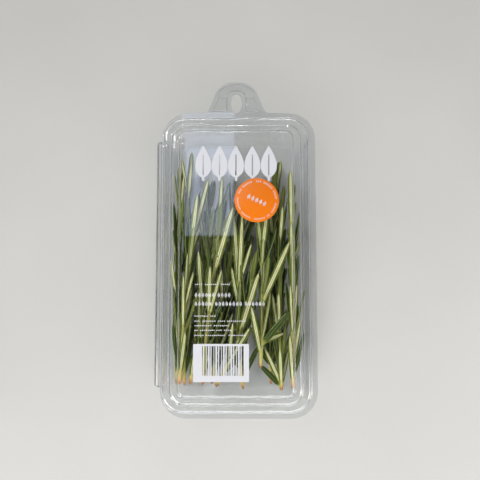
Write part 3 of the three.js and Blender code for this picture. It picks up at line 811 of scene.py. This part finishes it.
def room_at(z):
    """Half the clear width and length inside the pack at a height."""
    low, middle, _ = LID_STEPS
    if z > PARTING:
        room = PANEL if z > middle - CAD_SHEET else LEDGE if z > low - CAD_SHEET else MOUTH
        return room["right"], room["half_y"]
    if z < SHOULDER_Z:
        below, above, t = FLOOR, SHOULDER, z / SHOULDER_Z
    else:
        below, above, t = SHOULDER, MOUTH, (z - SHOULDER_Z) / (PARTING - SHOULDER_Z)
    return tuple(below[side] + (above[side] - below[side]) * t for side in ("right", "half_y"))


def inside_pack(points, leaf):
    margin = WALL_CLEAR + CAD_SHEET
    half_wide = LEAF["half_wide"] * leaf["width"]
    reach = np.abs(leaf["wide"]) * half_wide + np.abs(leaf["thick"]) * LEAF["half_thick"]
    for x, y, z in points:
        if z - reach[2] < margin or z + reach[2] > PANEL_TOP - margin:
            return False
        for height in (z - reach[2], z + reach[2]):
            half_x, half_y = room_at(height)
            if abs(x) + reach[0] + margin >= half_x or abs(y) + margin >= half_y:
                return False
    return True


def is_clear(leaf, owner, limbs):
    """Whether a leaf keeps clear of the pack, other sprigs and its own leaves' outer halves."""
    steps = np.arange(1, SAMPLES + 1) / SAMPLES
    points = np.array([leaf_point(leaf, s) for s in steps])
    if not inside_pack(points, leaf):
        return False
    away = points[:, None] - limbs.start[None]
    t = np.clip((away * limbs.run).sum(-1) / (limbs.run ** 2).sum(-1), 0, 1)
    away = away - t[..., None] * limbs.run
    distance = np.linalg.norm(away, axis=-1)
    away = away / np.maximum(distance, 1e-9)[..., None]
    half_wide, half_thick, owners, outer = limbs.sizes.T
    need = np.abs(away @ leaf["wide"]) * LEAF["half_wide"] * leaf["width"]
    need = need + np.abs(away @ leaf["thick"]) * LEAF["half_thick"]
    need = need + np.abs((away * limbs.wide).sum(-1)) * half_wide
    need = need + np.abs((away * limbs.thick).sum(-1)) * half_thick + CLEAR
    counted = (owners != owner)[None] | ((steps >= 0.5)[:, None] & (outer > 0)[None])
    return not ((distance < need) & counted).any()


def lying_leaf(stem, row, top_up, owner, limbs):
    y, tip_x, tip_y, tip_z, width = row
    at = stem_frame(stem, stem_parameter(stem, y))[0]
    for lift in LIFTS:
        tip = np.array((tip_x, tip_y, tip_z + lift), float)
        bend = (at + tip) / 2 + (0, 0, LEAF["arch"])
        leaf = leaf_along(at, bend, tip, (0, 0, -1) if top_up else (0, 0, 1), width)
        if is_clear(leaf, owner, limbs):
            return leaf
    return None


def growing_leaf(stem, shape, owner, limbs):
    """A leaf at an angle to the stem, turned, folded in or shortened until it is clear."""
    at, along, side, up = stem_frame(stem, stem_parameter(stem, shape["y"]))
    roll = math.radians(shape["roll"])
    for shorter in LENGTH_SCALES:
        for turned in SIDE_TURNS:
            for folded in TILT_SCALES:
                turn = math.radians(shape["turn"] + turned)
                tilt = math.radians(shape["tilt"]) * folded
                half = shape["length"] * shorter / 2
                away = side * math.cos(turn) + up * math.sin(turn)
                bend = at + half * (along * math.cos(tilt) + away * math.sin(tilt))
                tilt *= STRAIGHTENING
                tip = bend + half * (along * math.cos(tilt) + away * math.sin(tilt))
                facing = away * math.cos(roll) + np.cross(along, away) * math.sin(roll)
                leaf = leaf_along(at, bend, tip, facing, shape["width"])
                if is_clear(leaf, owner, limbs):
                    return leaf
    return None


def leaf_shapes(nodes, first_turn, top_y, owner):
    """Pairs of leaves at the nodes, each pair turned 90 degrees from the last, and a tip tuft."""
    dice = Dice(owner + FIRST_SEED)
    shapes = []

    def add(y, turn, length, tilt):
        length *= dice.more(*GROWTH["length"])
        tilt *= dice.more(*GROWTH["tilt"])
        turn += dice.either_way(GROWTH["turn"])
        roll = dice.either_way(GROWTH["roll"])
        shapes.append(dict(y=y, length=length, tilt=tilt, turn=turn, roll=roll,
                           width=dice.more(*GROWTH["width"])))

    for k, y in enumerate(nodes):
        turn = first_turn + 90 * k
        age = 1 - GROWTH["shortening"] * k / len(nodes)
        for half in (0, 180):
            add(y, turn + half, LEAF["length"] * age, LEAF["tilt"])
            if dice() < SIDE_LEAF["chance"]:
                add(y + SIDE_LEAF["rise"], turn + half + SIDE_LEAF["turn"],
                    LEAF["length"] * SIDE_LEAF["length"] * age, LEAF["tilt"] * SIDE_LEAF["tilt"])
    for k in range(CROWN["leaves"]):
        add(top_y - CROWN["drop"] * (1 + k % 2), CROWN["turn"] + 90 * k,
            LEAF["length"] * CROWN["length"], LEAF["tilt"] * CROWN["tilt"])
    return shapes


def young_shapes(root_y, top_y, owner):
    """The smaller leaves that spring between the nodes and fill the bunch from below."""
    dice = Dice(owner + YOUNG["seed"])
    shapes = []
    for y in np.arange(root_y + YOUNG["bare"], min(top_y, YOUNG["top"]), YOUNG["spacing"]):
        for half in (0, 180):
            flat = 90 if (half == 0) == (dice() < YOUNG["face_up"]) else -90
            shapes.append(dict(
                length=LEAF["length"] * dice.more(*YOUNG["length"]), y=dice.more(y, YOUNG["rise"]),
                tilt=LEAF["tilt"] * dice.more(*YOUNG["tilt"]), turn=half + dice.either_way(YOUNG["turn"]),
                roll=flat + dice.either_way(YOUNG["roll"]), width=dice.more(*YOUNG["width"])))
    return shapes


def grow_bunch():
    """Every sprig's stem and leaves: those laid as listed first, then the grown ones between them."""
    stems = [np.array(stem, float) for stem, *_ in SPRIGS]
    limbs = Limbs()
    leaves = [[] for _ in SPRIGS]

    def keep(leaf, owner):
        if leaf is not None:
            leaves[owner].append(leaf)
            limbs.add_leaf(leaf, owner)

    for owner, stem in enumerate(stems):
        limbs.add_stem(stem, owner)
    for owner, (_, _, _, lying) in enumerate(SPRIGS):
        for place, row in enumerate(lying):
            keep(lying_leaf(stems[owner], row, (owner + 1, place) in TOP_UP, owner, limbs), owner)
    for owner, (_, nodes, first_turn, _) in enumerate(SPRIGS):
        for shape in leaf_shapes(nodes, first_turn, stems[owner][3][1], owner):
            keep(growing_leaf(stems[owner], shape, owner, limbs), owner)
    for number, top_up, row in LATE_LEAVES:
        keep(lying_leaf(stems[number - 1], row, top_up, number - 1, limbs), number - 1)
    for owner, stem in enumerate(stems):
        for shape in young_shapes(stem[0][1], stem[3][1], owner):
            leaf = growing_leaf(stem, shape, owner, limbs)
            if leaf is not None and max(leaf["bend"][2], leaf["tip"][2]) < YOUNG["ceiling"]:
                keep(leaf, owner)
    return list(zip(stems, leaves))


# ---- one leaf, and its copies ----
LEAF_SIDES = 12
# Where the round section is pushed to: (x, z) on the circle, then its new (x, z).
LEAF_SECTION = (
    ((0, 1), (0, 0.62)), ((0.5, 0.866), (0.3, 0.4)), ((0.866, 0.5), (0.72, 0.86)),
    ((1, 0), (1, 0.12)), ((0.866, -0.5), (0.86, -0.55)), ((0.5, -0.866), (0.45, -0.92)),
    ((0, -1), (0, -0.55)),
)
# Rings up the blade: part of its length, width and thickness.
LEAF_ROWS = ((0.0, 0.32, 0.75), (0.05, 0.42, 0.9), (0.14, 0.78, 1.0), (0.3, 0.97, 1.0),
             (0.52, 1.0, 1.0), (0.74, 0.93, 0.95), (0.88, 0.74, 0.85), (0.96, 0.42, 0.6), (1.0, 0.08, 0.2))


def one_leaf():
    """A straight leaf of unit length and half width: grooved top, rolled margins, midrib below."""
    obj = add_primitive("leaf", bpy.ops.mesh.primitive_circle_add, vertices=LEAF_SIDES, radius=1,
                        rotation=(math.pi / 2, 0, 0))
    bake_place(obj)
    bm = edit(obj)
    for (x, z), (new_x, new_z) in LEAF_SECTION:
        for side in ((1, -1) if x else (1,)):
            place = Vector((side * x, 0, z))
            nearest = min(bm.verts, key=lambda v: (v.co - place).length)
            select_only(obj, bm, verts=[nearest])
            bpy.ops.transform.translate(value=Vector((side * new_x, 0, new_z)) - nearest.co)
            bm = bmesh.from_edit_mesh(obj.data)
    select_mesh()
    _, width, thick = LEAF_ROWS[0]
    stretch(width, 1, thick)
    bpy.ops.mesh.edge_face_add()
    for (s, width, thick), (next_s, next_width, next_thick) in zip(LEAF_ROWS, LEAF_ROWS[1:]):
        bpy.ops.mesh.extrude_region_move(TRANSFORM_OT_translate={"value": (0, next_s - s, 0)})
        stretch(next_width / width, 1, next_thick / thick)
    select_mesh()
    bpy.ops.mesh.normals_make_consistent(inside=False)
    leave_edit()
    name_section(obj)
    return obj


def name_section(obj):
    """Stores where each vertex is on the leaf: round from midrib to groove, and up the blade."""
    across = obj.data.attributes.new("across", "FLOAT", "POINT")
    along = obj.data.attributes.new("along", "FLOAT", "POINT")
    for vertex in obj.data.vertices:
        s = vertex.co.y
        row = min(LEAF_ROWS, key=lambda r: abs(r[0] - s))
        x, z = abs(vertex.co.x) / row[1], vertex.co.z / row[2]
        order = min(range(len(LEAF_SECTION)),
                    key=lambda i: (LEAF_SECTION[i][1][0] - x) ** 2 + (LEAF_SECTION[i][1][1] - z) ** 2)
        across.data[vertex.index].value = order / (len(LEAF_SECTION) - 1)
        along.data[vertex.index].value = s


def bent_copy(pattern, leaf, tone):
    """A copy of the leaf, bent along the curve that it grew on, in millimetres brought to metres."""
    mesh = pattern.data.copy()
    flat = np.empty(len(mesh.vertices) * 3, np.float32)
    mesh.vertices.foreach_get("co", flat)
    x, s, z = flat.reshape(-1, 3).astype(float).T
    base, bend, tip = leaf["base"], leaf["bend"], leaf["tip"]
    middle = np.outer((1 - s) ** 2, base) + np.outer(2 * s * (1 - s), bend) + np.outer(s * s, tip)
    heading = np.outer(1 - s, bend - base) + np.outer(s, tip - bend)
    heading /= np.linalg.norm(heading, axis=1)[:, None]
    wide = leaf["wide"][None] - (heading @ leaf["wide"])[:, None] * heading
    wide /= np.linalg.norm(wide, axis=1)[:, None]
    thick = np.cross(wide, heading)
    half_wide = LEAF["half_wide"] * leaf["width"]
    placed = middle + (x * half_wide)[:, None] * wide + (z * LEAF["half_thick"])[:, None] * thick
    mesh.vertices.foreach_set("co", (placed * MM).astype(np.float32).ravel())
    mesh.attributes.new("tone", "FLOAT", "POINT").data.foreach_set("value", np.full(len(x), tone, np.float32))
    obj = bpy.data.objects.new("leaf", mesh)
    bpy.context.collection.objects.link(obj)
    return obj


# The cut at a stem's root: how far each side runs up the stem, how it leans, where the sides meet.
# Its faces are those near the root that have more corners than the bark's.
CUT = dict(length=(2.2, 2.3), lean=(0.2, 0.5), lift=0.4, near=10, corners=6)
SWELL = dict(below=0.6, reach=1.6, gain=0.22)
STEM_FACES = dict(rings=40, round=3)
TONE_SEED = dict(step=101, first=5)


def one_stem(stem, nodes, dice):
    """A tapering stem on its curve, swollen at its nodes, its root cut to a rough point."""
    obj = add_primitive("stem", bpy.ops.curve.primitive_bezier_curve_add)
    first, last = obj.data.splines[0].bezier_points
    for point in (first, last):
        point.handle_left_type = point.handle_right_type = "FREE"
    a, b, c, d = (mm(*p) for p in stem)
    first.co, first.handle_right, first.handle_left = a, b, a + (a - b) * 0.1
    last.co, last.handle_left, last.handle_right = d, c, d + (d - c) * 0.1
    first.radius, last.radius = STEM["root_radius"], STEM["tip_radius"]
    obj.data.dimensions = "3D"
    obj.data.resolution_u = STEM_FACES["rings"]
    obj.data.bevel_depth = MM
    obj.data.bevel_resolution = STEM_FACES["round"]
    obj.data.use_fill_caps = True
    make_active(obj)
    bpy.ops.object.convert(target="MESH")
    swell_nodes(obj, stem, nodes)
    root, heading, side, up = stem_frame(stem, 0.0)
    edit(obj)
    for way in (1, -1):
        length = dice.more(*CUT["length"])
        slant = unit(way * side + up * dice.more(*CUT["lean"]) - heading * STEM["root_radius"] / length)
        slice_mesh(root + up * CUT["lift"], slant, use_fill=True, clear_outer=True)
    leave_edit()
    return obj


def swell_nodes(obj, stem, nodes):
    """Swells the stem where its leaves spring and stores how far up it each vertex is."""
    along = obj.data.attributes.new("along", "FLOAT", "POINT")
    for vertex in obj.data.vertices:
        place = np.array(vertex.co) / MM
        t = stem_parameter(stem, place[1])
        centre = along_curve(stem, t)
        swell = sum(math.exp(-((centre[1] - y + SWELL["below"]) / SWELL["reach"]) ** 2) for y in nodes)
        vertex.co = mm(*(centre + (place - centre) * (1 + SWELL["gain"] * swell)))
        along.data[vertex.index].value = t


def make_sprig(number, stem, nodes, lying, leaves, pattern, skins):
    """One sprig: its stem, the cut faces at its root, and its leaves, in leaf, stem and cut skins."""
    dice = Dice(number * TONE_SEED["step"] + TONE_SEED["first"])
    wood = one_stem(stem, nodes, dice)
    dress(wood, *skins)
    root = Vector(stem[0] * MM)
    for face in wood.data.polygons:
        is_cut = len(face.vertices) > CUT["corners"] and (root - face.center).length < CUT["near"] * MM
        face.material_index = 2 if is_cut else 1
    blades = [bent_copy(pattern, leaf, 1.0 if k < lying else dice()) for k, leaf in enumerate(leaves)]
    for blade in blades:
        dress(blade, *skins)
    obj = join(f"rosemary_sprig_{number:02d}", [wood, *blades])
    smooth(obj, 60)
    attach(obj, "tray")
    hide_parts(f"sprig_{number:02d}")


# ---- print and sticker on the lid ----
INK_HEIGHT = 0.035
INK_Z = PANEL_TOP + 0.005     # just clear of the sheet, as every printed layer is of the one below
# Rows up a leaf mark, from its stalk: part of its length and of its width.
BLADE_ROWS = ((0.0, 0.16), (0.1, 0.16), (0.14, 0.42), (0.22, 0.76), (0.32, 0.95), (0.43, 1.0), (0.56, 0.94),
              (0.69, 0.76), (0.81, 0.51), (0.91, 0.26), (1.0, 0.03))
SLIT = dict(middle=0.46, half=0.3, rounding=0.9)      # of the mark's length, and of the slit's half width


def raise_face(obj, height):
    """Extrudes a flat piece upwards into a closed solid."""
    edit(obj)
    select_mesh()
    extrude(0, 0, height)
    select_mesh()
    bpy.ops.mesh.remove_doubles(threshold=WELD * MM)
    bpy.ops.mesh.normals_make_consistent(inside=False)
    leave_edit()
    return obj


def pill(name, x0, x1, y, half_height, z=INK_Z, height=INK_HEIGHT, radius=None):
    """A thin raised bar from x0 to x1 with rounded corners."""
    radius = half_height * FULLY_ROUND if radius is None else radius
    obj = start_sheet(name, dict(left=x0, right=x1, half_y=half_height, radius=radius), z)
    shift(0, y, 0)
    leave_edit()
    return raise_face(obj, height)


def flat_blade(name, length, half_wide, z, height):
    """A leaf-shaped flat piece standing up from the origin."""
    obj = add_primitive(name, bpy.ops.mesh.primitive_plane_add, size=2)
    edit(obj, "EDGE")
    select_mesh()
    (s0, w0), (s1, w1) = BLADE_ROWS[:2]
    stretch(w0 * half_wide * MM, (s1 - s0) * length / 2 * MM, 1)
    shift(0, (s0 + s1) / 2 * length, z)
    bm = bmesh.from_edit_mesh(obj.data)
    select_only(obj, bm, edges=[max(bm.edges, key=lambda e: sum(v.co.y for v in e.verts))])
    stretch(w1 / w0, 1, 1)
    for (s, width), (next_s, next_width) in zip(BLADE_ROWS[1:], BLADE_ROWS[2:]):
        extrude(0, (next_s - s) * length, 0)
        stretch(next_width / width, 1, 1)
    leave_edit()
    return raise_face(obj, height)


def leaf_mark(length, half_wide, slit, z=INK_Z, height=INK_HEIGHT):
    """A leaf silhouette with a slit for its midrib."""
    mark = flat_blade("leaf_mark", length, half_wide, z, height)
    cutter = pill("slit", -slit, slit, length * SLIT["middle"], length * SLIT["half"], z - REACH,
                  height + 2 * REACH, radius=slit * SLIT["rounding"])
    boolean(mark, cutter, "DIFFERENCE")
    return mark


TITLE_ROW = dict(left=-26.1, right=25.6, low=50.6, high=73.1, marks=5, fill=0.49, slit=0.42)
# Lines of print: the height of each on the lid, then the spans that its words take up.
BIG_LINES = ((-21.0, ((-25.9, -13.6), (-11.9, -2.5))), (-26.4, ((-25.9, -15.2), (-13.4, 3.4), (5.0, 18.6))))
SMALL_LINES = (
    (-14.4, ((-25.8, -20.6), (-19.6, -10.9), (-9.8, -4.2))),
    (-33.9, ((-25.9, -17.4), (-16.2, -12.7))),
    (-37.0, ((-25.9, -22.1), (-21.0, -12.6), (-11.6, -7.1), (-6.0, 5.6))),
    (-39.8, ((-25.9, -15.1), (-14.0, -4.0))),
    (-42.6, ((-25.9, -23.8), (-22.6, -13.5), (-12.4, -9.0), (-7.8, -2.8))),
    (-45.7, ((-25.9, -20.1), (-18.9, -6.4), (-5.0, 5.7))),
)
BIG_LINE = dict(height=2.9, half_wide=0.72, pitch=2.15, slit=0.14)
SMALL_LINE = dict(half_wide=0.42, half_height=0.36, pitch=1.2)
PANEL_PRINT = dict(left=-26.4, right=7.8, low=-73.9, high=-50.9, radius=0.25)
STRIPES = dict(start=-20.9, end=5.2, low=-70.2, high=-52.2, gaps=(0.55, 1.15, 0.75), bars=(0.7, 0.45, 1.0),
               radius=0.02)


def stripe_panel():
    """A white printed panel with plain see-through stripes in an even rhythm."""
    low, high = PANEL_PRINT["low"], PANEL_PRINT["high"]
    panel = pill("stripe_panel", PANEL_PRINT["left"], PANEL_PRINT["right"], 0, (high - low) / 2,
                 radius=PANEL_PRINT["radius"])
    move(panel, 0, (low + high) / 2)
    low, high = STRIPES["low"], STRIPES["high"]
    x, i, slots = STRIPES["start"], 0, []
    while x + STRIPES["gaps"][i % 3] < STRIPES["end"]:
        far = x + STRIPES["gaps"][i % 3]
        slots.append(pill("slot", x, far, (low + high) / 2, (high - low) / 2, INK_Z - REACH,
                          2 * REACH, radius=STRIPES["radius"]))
        x = far + STRIPES["bars"][i % 3]
        i += 1
    boolean(panel, join("slots", slots), "DIFFERENCE")
    return panel


def along_lines(lines, pitch, drop):
    """The places of marks set at an even pitch along every span of every line."""
    return [(x, y - drop) for y, spans in lines for x0, x1 in spans
            for x in np.arange(x0 + pitch / 2, x1, pitch)]


def make_print(material):
    left, low, count = TITLE_ROW["left"], TITLE_ROW["low"], TITLE_ROW["marks"]
    pitch = (TITLE_ROW["right"] - left) / count
    mark = leaf_mark(TITLE_ROW["high"] - low, pitch * TITLE_ROW["fill"], TITLE_ROW["slit"])
    marks = repeat(mark, [(left + pitch * (k + 0.5), low) for k in range(count)])
    sprout = leaf_mark(BIG_LINE["height"], BIG_LINE["half_wide"], BIG_LINE["slit"])
    marks += repeat(sprout, along_lines(BIG_LINES, BIG_LINE["pitch"], BIG_LINE["height"] / 2))
    dash = pill("dash", -SMALL_LINE["half_wide"], SMALL_LINE["half_wide"], 0, SMALL_LINE["half_height"])
    marks += repeat(dash, along_lines(SMALL_LINES, SMALL_LINE["pitch"], 0))
    obj = join("white_front_print", [*marks, stripe_panel()])
    dress(obj, material)
    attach(obj, "lid")


STICKER = dict(x=12.8, y=38.4, radius=14.0, corners=96, thickness=0.16, edge=0.05, turn=-25, ink=0.02)
PAPER_GAP = 0.01              # from the print on the lid up to the paper
LAYER_GAP = 0.002             # between two layers that touch: label and ink, sheet and water
TICK = dict(length=1.5, half_wide=0.26, radius=11.3, spaces=64)
TICK_GAPS = (3, 10, 16, 17, 24, 27, 34, 35, 42, 50, 51, 55)
LAST_TICK = 61
SMALL_ROW = dict(marks=5, length=3.3, half_wide=0.85, slit=0.2, pitch=2.7)


def make_sticker(paper, ink):
    z = PANEL_TOP + INK_HEIGHT + PAPER_GAP
    disc = add_primitive("round_paper_label", bpy.ops.mesh.primitive_circle_add, vertices=STICKER["corners"],
                         fill_type="NGON", radius=STICKER["radius"] * MM,
                         location=mm(STICKER["x"], STICKER["y"], z))
    bake_place(disc)
    raise_face(disc, STICKER["thickness"])
    modify(disc, "BEVEL", width=STICKER["edge"] * MM, segments=2, limit_method="ANGLE",
           angle_limit=math.radians(40))
    smooth(disc)
    dress(disc, paper)
    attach(disc, "lid")
    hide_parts("round_sticker")
    top = z + STICKER["thickness"] + LAYER_GAP
    centre = (STICKER["x"], STICKER["y"])
    tick = flat_blade("tick", TICK["length"], TICK["half_wide"], top, STICKER["ink"])
    move(tick, 0, TICK["radius"])
    ticks = repeat(tick, [(*centre, -360 * k / TICK["spaces"])
                          for k in range(LAST_TICK + 1) if k not in TICK_GAPS])
    small = leaf_mark(SMALL_ROW["length"], SMALL_ROW["half_wide"], SMALL_ROW["slit"], top, STICKER["ink"])
    middle = (SMALL_ROW["marks"] - 1) / 2
    row = repeat(small, [(SMALL_ROW["pitch"] * (k - middle), -SMALL_ROW["length"] / 2)
                         for k in range(SMALL_ROW["marks"])])
    marks = join("round_label_print", [*ticks, *(move(mark, *centre, STICKER["turn"]) for mark in row)])
    dress(marks, ink)
    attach(marks, "lid")


# ---- drops of condensation under the lid's panel: x, y and radius ----
DROPS = ((-15.6, 25.2, 0.75), (-13.2, 19.0, 0.9), (-16.3, 17.0, 0.6), (-16.3, 15.1, 0.7), (-7.3, 19.4, 0.8),
         (-7.3, 14.7, 0.7), (-5.4, 13.3, 0.6), (-12.6, 12.4, 0.8), (-10.7, 10.4, 0.6), (-19.9, 8.5, 0.7),
         (-18.4, 11.5, 0.6), (-12.1, 3.1, 0.8), (-1.4, 7.5, 0.6), (-1.4, 4.1, 0.7), (-15.1, 30.6, 0.5),
         (-13.6, -1.8, 0.6), (-29.0, 74.2, 0.9), (-23.4, 76.6, 0.6))
BEAD = dict(segments=14, rings=10, cut=0.35, flat=0.42, round_x=(0.9, 0.2), round_y=(0.9, 0.3))
MIST = dict(seed=77, per_drop=3, spread=(5, 7), radius=(0.14, 0.2))


def make_drops(material):
    """Flattened beads of water hanging on the panel's underside, with small ones strewn round them."""
    bead = add_primitive("drop", bpy.ops.mesh.primitive_uv_sphere_add, segments=BEAD["segments"],
                         ring_count=BEAD["rings"], radius=MM)
    edit(bead)
    slice_mesh((0, 0, BEAD["cut"]), (0, 0, 1), use_fill=True, clear_outer=True)
    select_mesh()
    shift(0, 0, -BEAD["cut"])
    stretch(1, 1, BEAD["flat"])
    leave_edit()
    dice = Dice(MIST["seed"])
    spots = list(DROPS)
    for x, y, _ in DROPS:
        for _ in range(MIST["per_drop"]):
            spots.append((x + dice.either_way(MIST["spread"][0]), y + dice.either_way(MIST["spread"][1]),
                          dice.more(*MIST["radius"])))
    drops = []
    for x, y, size in spots:
        twin = copy_of(bead)
        twin.scale = (size * dice.more(*BEAD["round_x"]), size * dice.more(*BEAD["round_y"]), size)
        twin.location = mm(x, y, PANEL_TOP - SHEET - LAYER_GAP)
        bake_place(twin)
        drops.append(twin)
    bpy.data.objects.remove(bead)
    obj = join("condensation_drops", drops)
    smooth(obj, 60)
    dress(obj, material)
    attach(obj, "lid")


# ---- camera, floor and light ----
CAMERA = dict(x=2.3, y=14.23, distance=490, tilt=7, lens=58.06, sensor=36)
# Area lamps: name, place, aim, size in millimetres, watts, colour.
SOFTBOXES = (
    ("window_softbox", (-56, 242, 900), (-56, 242, 0), (96, 227.2), 0.115, "#D6E1FF"),
    ("fill_softbox", (650, -250, 600), (0, 0, 0), (250, 700), 3.6, "#FFF8F0"),
    ("front_softbox", (150, -750, 500), (0, 0, 0), (900, 350), 4.8, "#FFFFFF"),
    ("corner_softbox", (-520, -560, 420), (0, 0, 0), (420, 300), 4.4, "#FFFFFF"),
)
# Narrow lamps that draw bright lines along the folds and light nothing else.
GLINT_STRIPS = (
    ("left_strip", (-480, 420, 760), (0, 0, 0), (40, 420), 7.0, "#FFFFFF"),
    ("top_strip", (-60, 820, 600), (0, 0, 0), (760, 40), 9.0, "#FFFFFF"),
)
DAYLIGHT = dict(way=(-600, 500, 900), angle=25, strength=1.6)
STUDIO_FLOOR = dict(size=4000, z=-0.02)
SKY = ((0.0, "#B9BABB"), (0.25, "#A8AAAD"), (0.6, "#6A6D72"), (0.88, "#2B2D30"), (1.0, "#26282B"))


def place_camera():
    data = bpy.data.cameras.new("camera")
    camera = bpy.data.objects.new("camera", data)
    bpy.context.collection.objects.link(camera)
    tilt, distance = math.radians(CAMERA["tilt"]), CAMERA["distance"]
    camera.location = mm(CAMERA["x"], CAMERA["y"] - distance * math.sin(tilt),
                         PARTING + distance * math.cos(tilt))
    camera.rotation_euler = (tilt, 0, 0)
    data.sensor_width = CAMERA["sensor"]
    data.lens = CAMERA["lens"]
    bpy.context.scene.camera = camera


def add_light(name, kind, energy, way):
    """A lamp that shines against the way given, at the origin."""
    data = bpy.data.lights.new(name, kind)
    data.energy = energy
    light = bpy.data.objects.new(name, data)
    bpy.context.collection.objects.link(light)
    light.rotation_euler = (-Vector(way)).to_track_quat("-Z", "Y").to_euler()
    return light


def add_area(name, place, aim, size, power, colour):
    light = add_light(name, "AREA", power, Vector(place) - Vector(aim))
    light.location = mm(*place)
    light.data.shape = "RECTANGLE"
    light.data.size, light.data.size_y = (side * MM for side in size)
    light.data.color = linear(colour)[:3]
    return light


def light_studio():
    bpy.context.scene.view_settings.view_transform = "Standard"
    world = bpy.data.worlds.new("studio")
    bpy.context.scene.world = world
    world.use_nodes = True
    tree = world.node_tree
    way = add_node(tree, "TexCoord", out="Generated")
    height = add_node(tree, "SeparateXYZ", {"Vector": way}, out="Z")
    sky = add_node(tree, "ValToRGB", {"Fac": height}, stops=SKY)
    tree.links.new(sky, tree.nodes["Background"].inputs["Color"])
    for softbox in SOFTBOXES:
        add_area(*softbox)
    for strip in GLINT_STRIPS:
        add_area(*strip).visible_diffuse = False
    # Even soft light over the whole floor, from one side, that leaves no glare on the clear sheet.
    daylight = add_light("daylight", "SUN", DAYLIGHT["strength"], DAYLIGHT["way"])
    daylight.data.angle = math.radians(DAYLIGHT["angle"])
    daylight.visible_glossy = False
    daylight.visible_transmission = False


def lay_floor(material):
    floor = add_primitive("studio_floor", bpy.ops.mesh.primitive_plane_add, size=STUDIO_FLOOR["size"] * MM,
                          location=mm(0, 0, STUDIO_FLOOR["z"]))
    bake_place(floor)
    dress(floor, material)


# ---- the whole piece ----
place_camera()
light_studio()
# Plain pale studio floor: matte, with the faintest unevenness.
lay_floor(grainy_material("pale_studio_floor", "floor_cloud", ((0.3, "#B4B3B0"), (0.7, "#B9B8B5")),
                          Roughness=0.8))

pet = clear_pet()
# Opaque screen-printed ink: a soft white film with a faint grain.
ink = grainy_material("white_screen_ink", "ink", ((0.3, "#C1C2C7"), (0.7, "#CACBD0")), relief=(0.15, 0.02),
                      Roughness=0.45)
# Coated label paper printed orange: satin, with a faint fibre grain.
paper = grainy_material("orange_coated_paper", "paper_fibre", ((0.25, "#D56803"), (0.75, "#DE7608")),
                        detail=4.0, mix=0.6, relief=(0.2, 0.03), Roughness=0.42, Specular_IOR_Level=0.2)
# The cut end of a stem: moist tan wood with a darker grain.
cut_wood = grainy_material("fresh_cut_wood", "wood", ((0.3, "#B9763C"), (0.7, "#DFA868")), detail=3.0,
                           relief=(0.3, 0.08), Roughness=0.5)
make_tray(pet)
make_lid(pet)
make_print(ink)
make_sticker(paper, ink)
make_drops(water())

sprig_skins = (rosemary_leaf(), rosemary_stem(), cut_wood)
leaf_pattern = one_leaf()
for number, ((stem, leaves), (_, nodes, _, laid)) in enumerate(zip(grow_bunch(), SPRIGS), start=1):
    make_sprig(number, stem, nodes, len(laid), leaves, leaf_pattern, sprig_skins)
bpy.data.objects.remove(leaf_pattern)
